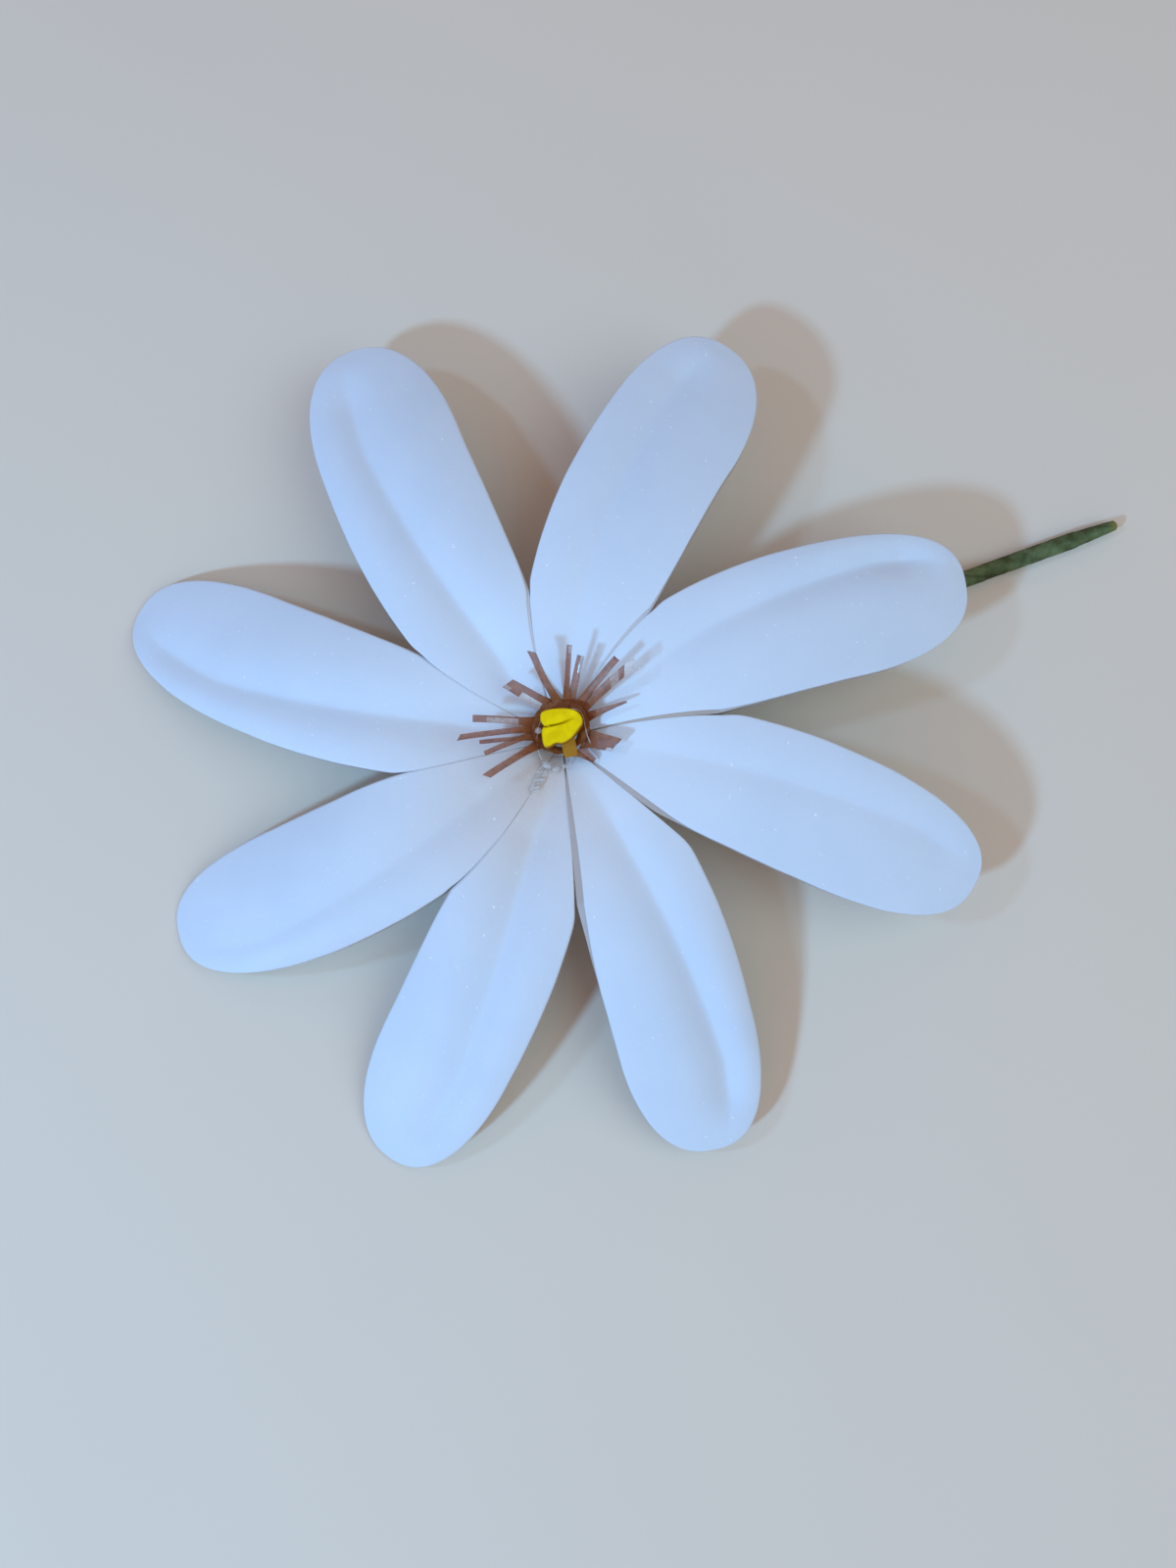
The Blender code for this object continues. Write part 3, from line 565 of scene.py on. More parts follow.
PETALS = (
    Petal(azimuth=134.3, length=68.2, half_width=10.8, turn=27.2, tip_from=0.72, round_left=2.4,
          round_right=2.1, groove=1.6, groove_out=1.3, side=0.09, drift=0.24, bow=1.9, roll=-0.02),
    Petal(azimuth=87.8, length=64.4, half_width=10.3, turn=35.7, tip_from=0.73, round_left=2.8,
          round_right=1.9, groove=0.8, groove_out=1.15, side=0.18, drift=0.16, bow=0.35, roll=-0.01),
    Petal(azimuth=40.5, length=63.4, half_width=10.1, turn=33.6, tip_from=0.69, round_left=3.0,
          round_right=2.0, groove=0.8, groove_out=1.65, side=0.3, drift=0.27, bow=0.95, roll=0.01,
          reach=2.9),
    Petal(azimuth=-7.5, length=62.5, half_width=9.7, turn=21.6, tip_from=0.63, round_left=2.9,
          round_right=2.1, groove=0.45, groove_out=0.6, side=0.18, drift=0.21, bow=0.7, roll=0.09,
          reach=3.0),
    Petal(azimuth=-53.6, length=62.9, half_width=9.9, turn=27.7, droop=25.0, tip_from=0.7,
          round_left=2.6, round_right=2.2, groove=1.6, groove_out=2.3, side=0.17, drift=0.29, bow=1.8,
          roll=-0.07, reach=3.6),
    Petal(azimuth=-96.6, length=65.8, half_width=9.9, turn=27.0, droop=25.7, tip_from=0.7,
          round_left=2.4, round_right=2.1, groove=1.9, groove_out=1.4, side=0.04, drift=0.3, bow=1.7,
          roll=0.08),
    Petal(azimuth=-136.3, length=64.4, half_width=10.1, turn=28.4, droop=26.6, tip_from=0.6,
          round_left=2.2, round_right=2.7, groove=0.95, groove_out=0.5, side=0.2, drift=0.33, bow=2.2,
          roll=0.09),
    Petal(azimuth=-179.1, length=70.0, half_width=10.1, turn=32.3, droop=29.6, tip_from=0.65,
          round_left=2.5, round_right=2.1, groove=1.5, groove_out=1.35, side=0.14, drift=0.34, bow=1.5,
          roll=0.03),
)

SEAMS = (
    Seam(azimuth=101.4, notch=21.1, swirl=9.0, bevel=1.2),
    Seam(azimuth=52.8, notch=22.2, swirl=9.5, bevel=1.35),
    Seam(azimuth=6.2, notch=23.0, swirl=5.0, bevel=1.95),
    Seam(azimuth=-40.3, notch=20.5, swirl=0.0, bevel=3.5),
    Seam(azimuth=-84.9, notch=24.1, swirl=2.5, bevel=3.2),
    Seam(azimuth=-125.3, notch=26.5, swirl=12.0, bevel=0.5),
    Seam(azimuth=-166.6, notch=22.6, swirl=3.0, bevel=0.3),
    Seam(azimuth=149.4, notch=23.0, swirl=8.0, bevel=0.5),
)


@dataclass(frozen=True)
class Outline:
    """Outline of one face of a petal: at each station, distances from the midline."""

    left: Array             # to the anticlockwise edge
    right: Array            # to the clockwise edge
    lean: Array             # how far the tip is pulled aside
    held_left: Array        # 1 where a neighbour holds the anticlockwise edge, 0 where it is free
    held_right: Array


@dataclass(frozen=True)
class FoamPetals:
    """The eight petals, clockwise from the upper left."""

    place: HeadPlace
    foam: float = 2.0
    claw_foam: float = 1.7
    throat_radius: float = 2.4
    claw_length: float = 3.2
    claw_bend: float = 1.5
    claw_half_width: float = 1.7
    slack: float = 1.0           # no petal is cut this much wider than its half width
    funnel_slope: float = 64.0
    funnel_rest: float = 14.0
    funnel_fade: float = 3.5
    turn_power: float = 0.6
    swirl_power: float = 0.8
    claw_share: float = 0.465
    widest_at: float = 0.6
    taper_power: float = 0.85
    tip_lean: float = 0.85       # how near the tip its fuller side still pulls it aside
    groove_round: float = 0.5
    groove_start: float = 4.0
    groove_full: float = 14.0
    inner_station: float = 26.0
    outer_station: float = 50.0
    change_from: float = -0.5    # the crease changes from this share of the way between them on
    groove_fade_from: float = 0.84
    groove_fade_to: float = 0.97
    groove_at_tip: float = 0.05
    seam_bow: float = 0.9        # bow where the petals touch, before each has its own
    free_from: float = 16.0      # the petals' own bow and roll start here
    bow_full: float = 36.0
    roll_full: float = 44.0
    bow_power: float = 2.5
    bow_most: float = 1.2        # the bow grows no more past this share of the half width
    edge_round: float = 0.22     # radius that the scissors leave on an edge
    seam_round: float = 0.03     # and where two petals are pressed together
    held_by: float = 1.5         # an edge is fully held where a neighbour takes this much of its width,
    held_from: Span = (2.0, 8.0)        # and comes to be held over these distances from the throat
    corner: float = 0.6          # rounding of the outline's corner where a seam ends
    lap: float = 0.005           # a petal stands this much proud of its seam with the next one,
    lap_slant: float = 0.025     # and this much more for each degree of the seam's bevel
    scissor_wave: float = 0.02   # unevenness of the cut outline,
    scissor_length: float = 9.0  # the length of its waves,
    scissor_in: Span = (0.3, 0.45)      # and the shares of the petal over which it comes
    scissor_out: Span = (0.8, 0.97)     # and goes
    warp: float = 0.06           # gentle waves of the sheet
    warp_length: float = 38.0
    painted_middle_light_reach: float = 22.0    # painted light: the foam is made brighter this near the middle
    soiled_and_shaded_at: float = -124.0    # azimuth of the greyer side, glue that dulled it and painted shade with bounced yellow light,
    soiled_and_shaded_span: float = 66.0    # how far it spreads round the middle
    soiled_and_shaded_reach: float = 20.0   # and outwards
    soiled_and_shaded_most: float = 0.9
    line_steps: int = 1200
    seam_rounds: int = 6
    least_cosine: float = 0.05   # of the angle between a seam and the midline
    rise_reach: float = 30.0     # the faces' rise is known this far along the midline,
    rise_steps: int = 200        # in so many steps
    rows: int = 150
    row_grading: float = 1.8     # the rows close up towards the tip
    claw_rows: int = 9
    claw_gap: float = 0.3        # from the last row of the claw to the throat
    columns: int = 27
    wall_shares: tuple[float, ...] = (0.2, 0.4, 0.6, 0.8)   # rows up a cut edge
    chamfer_depth: float = 0.02  # depth of a slanting cut for each degree, as a share of the foam
    cut_free: float = 0.8        # share of the grey that a free cut edge shows, for its open cells
    cut_pressed: float = 0.2     # and one that is pressed against the next petal
    full_bevel: Span = (1.0, 2.0)       # it rises to all of it, as painted shade in the seam, as the cut slants more
    pressed_span: Span = (-0.5, 1.0)    # distances inside the notch over which it comes to be pressed

    def midline(self, petal: Petal, stations: Array) -> tuple[Array, Array, Array]:
        """Midline of a petal: its points, heading and slope at distances from the throat.

        The slope falls from upright in the claw through the funnel to the drooping tip, the heading
        turns clockwise, and both are summed up along the line in small steps.
        """
        fine = np.linspace(-self.claw_length, petal.length, self.line_steps)
        share = np.clip(fine / petal.length, 0.0, 1.0)
        free = (self.funnel_slope - self.funnel_rest) * np.exp(-np.maximum(fine, 0.0) / self.funnel_fade)
        free = free + self.funnel_rest - (self.funnel_rest + petal.droop) * share
        upright = np.clip(-fine / self.claw_bend, 0.0, 1.0)
        claw = self.funnel_slope + (90.0 - self.funnel_slope) * upright
        slope = np.radians(np.where(fine < 0.0, claw, free))
        heading = np.radians(petal.azimuth - petal.turn * share ** self.turn_power)
        rate = np.stack([np.cos(slope) * np.cos(heading), np.cos(slope) * np.sin(heading),
                         np.sin(slope)], axis=-1)
        line = np.concatenate([np.zeros((1, 3)), np.cumsum((rate[1:] + rate[:-1]) / 2, axis=0)])
        line *= fine[1] - fine[0]
        line += np.append(self.throat_radius * towards(petal.azimuth), 0.0) - between(0.0, fine, line)
        return (between(stations, fine, line), np.interp(stations, fine, heading),
                np.interp(stations, fine, slope))

    def free_sides(self, petal: Petal, stations: Array) -> tuple[Array, Array, Array]:
        """Widths of the cut petal on its two sides, anticlockwise first, and how far its tip leans aside.

        A sine taper widens it from the claw, and a superellipse rounds each side of the tip. The
        fuller side pulls the very tip towards it. The scissors leave a slow wave that fades out at
        both ends.
        """
        share = np.clip(stations / petal.length, 0.0, 1.0)
        along = np.clip(share / self.widest_at, 1e-6, 1.0)
        taper = self.claw_share + (1.0 - self.claw_share) * np.sin(math.pi / 2 * along) ** self.taper_power
        past = np.clip((share - petal.tip_from) / (1.0 - petal.tip_from), 0.0, 1.0)
        width = petal.half_width * taper

        def rounded(near: Array, fullness: float) -> Array:
            """Superellipse: 1 where the tip starts and 0 at its end."""
            return (1.0 - near ** fullness) ** (1.0 / fullness)

        half = (rounded(past, petal.round_left) + rounded(past, petal.round_right)) / 2
        near = self.tip_lean * past
        lean = (rounded(near, petal.round_left) - rounded(near, petal.round_right)) / 2
        wave = smoothstep(share, *self.scissor_in) * (1.0 - smoothstep(share, *self.scissor_out))
        wave *= self.scissor_wave
        left = ripple(stations, np.zeros_like(stations), self.scissor_length, petal.azimuth)
        right = ripple(stations, np.ones_like(stations), self.scissor_length, petal.length)
        return width * (half + lean) + wave * left, width * (half - lean) + wave * right, width * lean

    def seam_room(self, centre: Array, heading: Array, seam: Seam, side: float,
                  bevel: float) -> Array:
        """Room from a midline to the seam on one side (1 anticlockwise, -1 clockwise).

        A seam is an upright wall from the head's axis that swirls out to its notch. The room is
        measured square to the midline, and is less by the bevel's angle on an upper face with a
        slanting cut. The seam's azimuth depends on the radius that the edge reaches, so the two are
        worked out in turn a few times.
        """
        across = np.stack([-np.sin(heading), np.cos(heading)], axis=-1) * side
        reach = np.linalg.norm(centre[:, :2], axis=1)
        room = np.zeros_like(reach)
        for _ in range(self.seam_rounds):
            inner = np.clip(1.0 - reach / seam.notch, 0.0, 1.0)
            angle = np.radians(seam.azimuth + bevel + seam.swirl * inner ** self.swirl_power)
            inward = np.stack([np.sin(angle), -np.cos(angle)], axis=-1) * side
            room = np.sum(centre[:, :2] * inward, axis=1)
            room = room / np.maximum(np.cos(heading - angle), self.least_cosine)
            reach = np.linalg.norm(centre[:, :2] + across * room[:, None], axis=1)
        return room

    def smooth_min(self, first: Array, second: Array) -> Array:
        """The smaller of two widths, with the corner between them rounded."""
        share = np.clip(0.5 + 0.5 * (second - first) / self.corner, 0.0, 1.0)
        return second + (first - second) * share - self.corner * share * (1.0 - share)

    def outline(self, petal: Petal, seams: tuple[Seam, Seam], stations: Array, centre: Array,
                heading: Array, bevel: float) -> Outline:
        """Outline of a face: the cut petal's own, or the seam's where a neighbour leaves less room."""
        limit = np.where(stations < -self.claw_bend / 2, self.claw_half_width,
                         petal.half_width + self.slack)
        free_left, free_right, lean = self.free_sides(petal, stations)
        free_left, free_right = np.minimum(free_left, limit), np.minimum(free_right, limit)
        left = self.smooth_min(free_left, self.seam_room(centre, heading, seams[0], 1.0, 0.0))
        right = self.smooth_min(free_right, self.seam_room(centre, heading, seams[1], -1.0, bevel))
        out = smoothstep(stations, *self.held_from)
        return Outline(left=left, right=right, lean=lean,
                       held_left=smoothstep(free_left - left, 0.0, self.held_by) * out,
                       held_right=smoothstep(free_right - right, 0.0, self.held_by) * out)

    def face(self, petal: Petal, seams: tuple[Seam, Seam], stations: Array,
             upper: bool, bevel: float = 0.0) -> Array:
        """One face of a petal: rows of points from its clockwise edge over the crease to the other.

        A bevel sets its clockwise edge back from the seam, where the cut slants. Each point stands
        half the foam's thickness and its relief off the midline's sheet. An edge that a neighbour
        holds stands proud of it or under it. Near the outline a quarter circle rounds the face over.
        """
        outward = 1.0 if upper else -1.0
        centre, heading, slope = self.midline(petal, stations)
        squeeze = np.clip(1.0 - stations / self.groove_start, 0.0, 1.0)
        off = outward * (self.foam + (self.claw_foam - self.foam) * squeeze) / 2
        centre += off[:, None] * np.stack([-np.sin(slope) * np.cos(heading),
                                           -np.sin(slope) * np.sin(heading), np.cos(slope)], axis=-1)
        edges = self.outline(petal, seams, stations, centre, heading, bevel)
        fade_in = np.clip((stations - self.groove_start) / (self.groove_full - self.groove_start), 0.0, 1.0)
        along = (stations - self.inner_station) / (self.outer_station - self.inner_station)
        along = np.clip(along, self.change_from, 1.0)
        aside = edges.lean + (petal.side + petal.drift * along) * (edges.left + edges.right) / 2
        crease = ((edges.left - edges.right) / 2 * (1.0 - fade_in) + aside * fade_in)[:, None]

        # cosine steps put the points close together at the crease and at the edge
        flank = 0.5 - 0.5 * np.cos(np.linspace(0.0, math.pi, self.columns))
        left, right = edges.left[:, None], edges.right[:, None]
        across = np.concatenate([crease - (right + crease) * flank[::-1],
                                 crease + (left - crease) * flank[1:]], axis=1)
        on_right = np.concatenate([flank[::-1], np.zeros(self.columns - 1)])
        on_left = np.concatenate([np.zeros(self.columns), flank[1:]])

        lift = self.relief(petal, stations, across, crease, along, fade_in)
        lift = lift + self.proud(seams[1]) * edges.held_right[:, None] * on_right ** 2
        lift = lift - self.proud(seams[0]) * edges.held_left[:, None] * on_left ** 2
        fall = np.maximum(self.rounding(stations, edges.left, left - across, edges.held_left),
                          self.rounding(stations, edges.right, across + right, edges.held_right))
        x = centre[:, :1] - across * np.sin(heading)[:, None]
        y = centre[:, 1:2] + across * np.cos(heading)[:, None]
        return np.stack([x, y, centre[:, 2:] + lift - outward * fall], axis=-1)

    def relief(self, petal: Petal, stations: Array, across: Array, crease: Array,
               along: Array, fade_in: Array) -> Array:
        """How far the pressed sheet stands above the midline's sheet.

        It dips along the crease by one less the hyperbolic tangent of the distance from it, bows down
        to the edges by a power of that distance, rolls to one side, and waves gently.

        Args:
            petal: The petal.
            stations: Distances from the throat, one for each row.
            across: Distance of each point from the midline.
            crease: Distance of the crease from the midline, one for each row.
            along: 0 at the inner station and 1 at the outer one.
            fade_in: Share of the crease that each row has.

        Returns:
            The height of each point.
        """
        fade_out = smoothstep(stations / petal.length, self.groove_fade_from, self.groove_fade_to)
        depth = (petal.groove + (petal.groove_out - petal.groove) * along) * fade_in
        depth = depth * (1.0 - (1.0 - self.groove_at_tip) * fade_out)
        aside = across - crease
        off = np.hypot(aside, self.groove_round) - self.groove_round
        lift = -depth[:, None] * (1.0 - np.tanh(off / petal.reach))
        near = np.clip(np.abs(aside) / (petal.half_width - np.sign(aside) * crease), 0.0, self.bow_most)
        own = smoothstep(stations, self.free_from, self.bow_full)
        bow = (self.seam_bow + (petal.bow - self.seam_bow) * own) * fade_in
        lift = lift - bow[:, None] * near ** self.bow_power
        roll = petal.roll * smoothstep(stations, self.free_from, self.roll_full)
        wave = ripple(stations[:, None], across, self.warp_length, petal.azimuth)
        return lift + roll[:, None] * across + self.warp * fade_in[:, None] * wave

    def proud(self, seam: Seam) -> float:
        """How far the first petal stands proud at a seam: more where its cut slants more."""
        return self.lap + self.lap_slant * seam.bevel

    def rounding(self, stations: Array, half: Array, inward: Array,
                 held_edge: Array) -> Array:
        """How far a face falls near one side of the outline: a quarter circle, small on a held edge.

        The distance to the outline is the sideways distance inward from it times the cosine of the
        outline's angle to the midline.
        """
        tilt = 1.0 / np.hypot(1.0, np.gradient(half, stations))
        radius = (self.edge_round + (self.seam_round - self.edge_round) * held_edge)[:, None]
        inside = np.clip(inward * tilt[:, None], 0.0, radius)
        return radius - np.sqrt(np.maximum(radius ** 2 - (radius - inside) ** 2, 0.0))

    def cut_grey_and_shade(self, edge: Array, notch: float, bevel: float) -> Array:
        """How much grey a cut edge is given: its open cells' grey, and painted shade in a seam where the
        cut slants.

        It is less where the edge is pressed against the next petal, inside the notch between the two,
        unless the cut slants there.
        """
        pressed = smoothstep(notch - np.linalg.norm(edge[:, :2], axis=1), *self.pressed_span)
        inside = self.cut_pressed + (1.0 - self.cut_pressed) * smoothstep(bevel, *self.full_bevel)
        return (self.cut_free + (inside - self.cut_free) * pressed)[:, None]

    def body(self, petal: Petal, seams: tuple[Seam, Seam]) -> Surface:
        """Closed body of a petal: its upper face, its lower face and the cut walls between them."""
        even = np.linspace(0.0, 1.0, self.rows)
        stations = petal.length * (1.0 - (1.0 - even) ** self.row_grading)
        claw = np.linspace(-self.claw_length, -self.claw_gap, self.claw_rows)
        stations = np.concatenate([claw, stations])
        lower = self.face(petal, seams, stations, False)
        upright = self.face(petal, seams, stations, True)
        upper = self.face(petal, seams, stations, True, seams[1].bevel)
        share = np.array([*self.wall_shares, 1.0 - self.chamfer_depth * seams[1].bevel])[:, None]
        right_wall = lower[:, :1] + (upright[:, :1] - lower[:, :1]) * share
        left_wall = (lower[:, -1:] + (upright[:, -1:] - lower[:, -1:]) * share)[:, ::-1]
        grid = np.concatenate([upper, left_wall, lower[:, ::-1], right_wall], axis=1)
        # cut edges are greyer: open cells, and painted shade where a slanting cut lies in a seam
        cut = np.zeros(grid.shape[:2])
        wide = upper.shape[1]
        cut[:, wide - 1:wide + len(share) + 1] = self.cut_grey_and_shade(upper[:, -1], seams[0].notch, 0.0)
        cut[:, -len(share) - 1:] = self.cut_grey_and_shade(upper[:, 0], seams[1].notch, seams[1].bevel)
        cut[:, 0] = cut[:, -1]
        # painted light brightens the foam near the middle
        radius = np.linalg.norm(grid[..., :2], axis=-1)
        # one side is greyer: glue that dulled it, and painted shade with bounced yellow light
        azimuth = off_azimuth(np.degrees(np.arctan2(grid[..., 1], grid[..., 0])), self.soiled_and_shaded_at)
        soiled_and_shaded = self.soiled_and_shaded_most * bell(radius, self.soiled_and_shaded_reach) * bell(azimuth, self.soiled_and_shaded_span)
        values = {"cut": cut, "painted_middle_light": bell(radius, self.painted_middle_light_reach), "soiled_and_shaded": soiled_and_shaded}
        return loft(self.place.put(grid), values)

    def rise(self, radius: Array) -> Array:
        """Height of the petals' upper faces above the throat, at distances from the head's axis."""
        stations = np.linspace(0.0, self.rise_reach, self.rise_steps)
        points, _, slope = self.midline(PETALS[0], stations)
        reach = np.linalg.norm(points[:, :2], axis=1)
        return np.interp(radius, reach, points[:, 2] + self.foam / 2 * np.cos(slope))

    def build(self) -> None:
        """Make the eight petals."""
        foam = WHITE_FOAM.material()
        for index, petal in enumerate(PETALS):
            body = self.body(petal, (SEAMS[index - 1], SEAMS[index]))
            add_piece(f"foam_petal_{index + 1}", body, [foam], f"petal_{index + 1}")


# Fringe


@dataclass(frozen=True)
class Window:
    """Part of a strip, along it from collar to tip and across it from -1 to 1."""

    start: float
    stop: float
    low: float = -1.1
    high: float = 1.1


@dataclass(frozen=True)
class Strip:
    """One cut strip of the film fringe."""

    root: float              # azimuth at the collar
    tip: float               # azimuth at the tip
    reach: float             # tip radius
    height: float            # tip height above the throat
    width: float
    tip_width: float
    twist: float             # turn of the strip about its own length, from collar to tip
    kink: float = 0.0        # sideways bend half way, anticlockwise
    slant: float = 0.0       # slant of the cut tip, longer on the anticlockwise side
    notch: float = 0.0       # nick in the middle of the cut tip, as a share of the length
    dense: float = 0.9       # how dense its brown is at the root
    clear: Window | None = None      # where its brown has rubbed off
    tinted: Window | None = None     # and where a thin tint is left


STRIPS = (
    Strip(root=118, tip=136, reach=9.9, height=8.2, width=2.05, tip_width=1.7, twist=10.0, slant=0.06,
          clear=Window(0.18, 0.64, low=0.0), tinted=Window(0.86, 1.1, low=0.3)),
    Strip(root=161, tip=171, reach=12.0, height=9.0, width=1.1, tip_width=1.0, twist=-14.0,
          tinted=Window(0.3, 0.78, low=-0.6)),
    Strip(root=174, tip=184, reach=13.7, height=9.9, width=0.8, tip_width=0.8, twist=12.0, slant=0.03),
    Strip(root=194, tip=187, reach=11.1, height=7.9, width=0.6, tip_width=0.6, twist=20.0),
    Strip(root=184, tip=196, reach=10.7, height=8.0, width=0.8, tip_width=0.7, twist=-10.0),
    Strip(root=210, tip=212, reach=11.7, height=8.5, width=0.9, tip_width=1.0, twist=8.0, slant=-0.04),
    Strip(root=95, tip=108, reach=11.7, height=9.5, width=1.0, tip_width=1.0, twist=-22.0, kink=0.2,
          slant=0.05),
    Strip(root=80, tip=82, reach=12.1, height=9.7, width=0.8, tip_width=0.7, twist=14.0,
          tinted=Window(0.86, 1.1, high=0.3)),
    Strip(root=71, tip=73, reach=11.1, height=8.8, width=1.0, tip_width=1.0, twist=-8.0,
          tinted=Window(0.66, 1.1, high=0.1)),
    Strip(root=58, tip=50.5, reach=13.0, height=9.9, width=1.0, tip_width=1.0, twist=16.0, notch=0.06),
    Strip(root=47, tip=41, reach=14.1, height=10.1, width=1.2, tip_width=1.4, twist=-12.0, slant=0.06,
          clear=Window(0.84, 1.1), tinted=Window(0.58, 0.73)),
    Strip(root=29, tip=24, reach=10.5, height=7.5, width=1.2, tip_width=0.3, twist=6.0),
    Strip(root=-47, tip=-37, reach=6.2, height=4.9, width=1.9, tip_width=0.8, twist=-6.0, dense=0.0),
    Strip(root=-18, tip=-13, reach=8.3, height=7.2, width=2.4, tip_width=2.2, twist=-6.0, notch=0.04,
          slant=0.11, dense=0.1, clear=Window(0.8, 1.1, high=-0.5)),
)


@dataclass(frozen=True)
class FilmFringe:
    """The fringe: a band of film rolled into a collar, and its cut strips bent outwards."""

    place: HeadPlace
    centre: Span = (0.3, 0.6)
    film: float = 0.16
    start_radius: float = 3.7
    start_height: float = 4.95
    bend: float = 1.4
    tuck: float = 0.1            # share of a strip that lies on the band, inside its start
    flare: float = 0.8           # a strip is this much wider where it leaves the band,
    flare_length: float = 0.12   # and narrows over this share of its length
    nick_width: float = 0.3      # of a nick in a tip, as a share of the half width
    curl: float = 0.09           # rise of a strip's edges, as a share of its width
    wave: float = 0.02           # unevenness of a strip,
    wave_length: float = 4.0     # the length of its waves,
    wave_run: float = 10.0       # and a strip's own length, near enough for them
    dense_span: Span = (-0.05, 0.4)     # its brown thins out from its root over these shares
    band_inner: float = 2.3
    band_outer: float = 4.4
    band_bottom: float = 4.6
    band_top: float = 5.5
    band_power: float = 0.85     # its slope eases off outwards
    short_at: float = 285.0      # the band is cut short on this side
    short_by: float = 1.1
    short_span: float = 85.0
    overlap: float = 430.0       # angle that the band is wound round
    spiral_rise: float = 0.2     # how far it climbs while it is wound
    rim_wave: float = 0.14       # unevenness of its cut rim,
    rim_radius: float = 3.0      # the radius at which that is laid round,
    rim_climb: float = 0.4       # and how far it climbs for each radian
    band_wave: float = 0.05      # unevenness of its sheet,
    band_radius: float = 4.0     # the radius at which that is laid round,
    band_width: float = 2.0      # and the sheet's width, near enough for it
    pale_rim: float = 0.65       # share of the dense brown that its rim has lost,
    pale_span: Span = (0.3, 1.0)        # and the shares of its width over which it goes
    rows: int = 46
    columns: int = 9
    band_rows: int = 300
    band_columns: int = 12

    def strip(self, strip: Strip, seed: float) -> Surface:
        """A strip: a thin flat section carried along a path that leaves the collar and bends outwards.

        In plan the path runs straight from root to tip, with a sine-shaped kink. Its height rises by
        a power curve. The section turns about the path by the twist and is bowed a little across.
        """
        share = np.linspace(-self.tuck, 1.0, self.rows)
        across = np.linspace(-1.0, 1.0, self.columns)
        half_way = self.columns // 2
        end = 1.0 + strip.slant * across - strip.notch * bell(across, self.nick_width)
        ahead = share[:, None] * end[None, :]
        middle = ahead[:, half_way]
        root = np.array(self.centre) + self.start_radius * towards(strip.root)
        run = strip.reach * towards(strip.tip) - root
        along = run / np.linalg.norm(run)
        side = np.array([-along[1], along[0]])
        kink = strip.kink * np.sin(math.pi * np.clip(ahead, 0.0, 1.0)) ** 2
        plan = root + run * ahead[..., None] + side * kink[..., None]
        risen = 1.0 - np.maximum(1.0 - ahead, 0.0) ** self.bend
        height = self.start_height + (strip.height - self.start_height) * risen
        wider = self.flare * np.exp(-np.maximum(middle, 0.0) / self.flare_length)
        half = (strip.width + (strip.tip_width - strip.width) * middle + wider) / 2
        level = np.linalg.norm(np.gradient(plan[:, half_way], axis=0), axis=1)
        slope = np.arctan2(np.gradient(height[:, half_way]), level)
        normal = np.stack([-np.sin(slope) * along[0], -np.sin(slope) * along[1], np.cos(slope)], axis=-1)
        twist = np.radians(strip.twist * middle)[:, None]
        over = np.cos(twist) * np.append(side, 0.0) + np.sin(twist) * normal
        off = np.cos(twist) * normal - np.sin(twist) * np.append(side, 0.0)
        bow = self.curl * strip.width * across ** 2
        bow = bow + self.wave * ripple(share[:, None] * self.wave_run, across, self.wave_length, seed)
        sheet = np.concatenate([plan, height[..., None]], axis=-1)
        sheet = sheet + (half[:, None] * across)[..., None] * over[:, None] + bow[..., None] * off[:, None]
        grid = thickened(sheet, self.film / 2 * off[:, None])
        dark = strip.dense * (1.0 - smoothstep(middle, *self.dense_span))
        values = {"root": np.repeat(dark[:, None], grid.shape[1], axis=1)}
        loop = np.concatenate([across, across[::-1]])
        return loft(self.place.put(grid), values, self.rubbed(strip, share, loop))

    def rubbed(self, strip: Strip, share: Array, loop: Array) -> Array:
        """Finish of each quad of a strip: 1 in its clear window, 2 in its tinted one, 0 elsewhere."""
        along = (share[1:] + share[:-1])[:, None] / 2
        across = (loop + np.roll(loop, -1))[None, :] / 2
        finish = np.zeros(np.broadcast(along, across).shape, dtype=int)
        for number, window in enumerate((strip.clear, strip.tinted), start=1):
            if window:
                inside = (along > window.start) & (along < window.stop)
                finish[inside & (across > window.low) & (across < window.high)] = number
        return finish

    def band(self) -> Surface:
        """The uncut band: a thin sheet that flares out from under the pistil, wound round more than once.

        Its section is a slope that eases off outwards, and its rim is uneven where it was cut.
        """
        turn = np.linspace(0.0, math.radians(self.overlap), self.band_rows)[:, None]
        out = np.linspace(0.0, 1.0, self.band_columns)[None, :]
        rim = ripple(turn * self.rim_radius, turn * self.rim_climb, wave=3.4, seed=0.6)
        rim = self.rim_wave * rim + self.band_outer
        rim = rim - self.short_by * bell(off_azimuth(np.degrees(turn), self.short_at), self.short_span)
        reach = self.band_inner + (rim - self.band_inner) * out
        height = self.band_bottom + (self.band_top - self.band_bottom) * out ** self.band_power
        height = height + self.spiral_rise * turn / turn[-1]
        uneven = ripple(turn * self.band_radius, out * self.band_width, wave=2.7, seed=1.9)
        height = height + self.band_wave * uneven
        sheet = np.stack([self.centre[0] + reach * np.cos(turn), self.centre[1] + reach * np.sin(turn),
                          height], axis=-1)
        grid = thickened(sheet, np.array([0.0, 0.0, self.film / 2]))
        dark = 1.0 - self.pale_rim * smoothstep(out, *self.pale_span)
        dark = np.concatenate([dark, dark[:, ::-1]], axis=1)
        return loft(self.place.put(grid), {"root": np.repeat(dark, len(turn), axis=0)})

    def build(self) -> None:
        """Make the fringe as one piece."""
        parts = [self.band()] + [self.strip(strip, seed) for seed, strip in enumerate(STRIPS)]
        finishes = [finish.material() for finish in (BROWN_FILM, CLEAR_FILM, TINTED_FILM)]
        add_piece("film_fringe", joined(parts), finishes, "stamen_fringe")


# Pistil


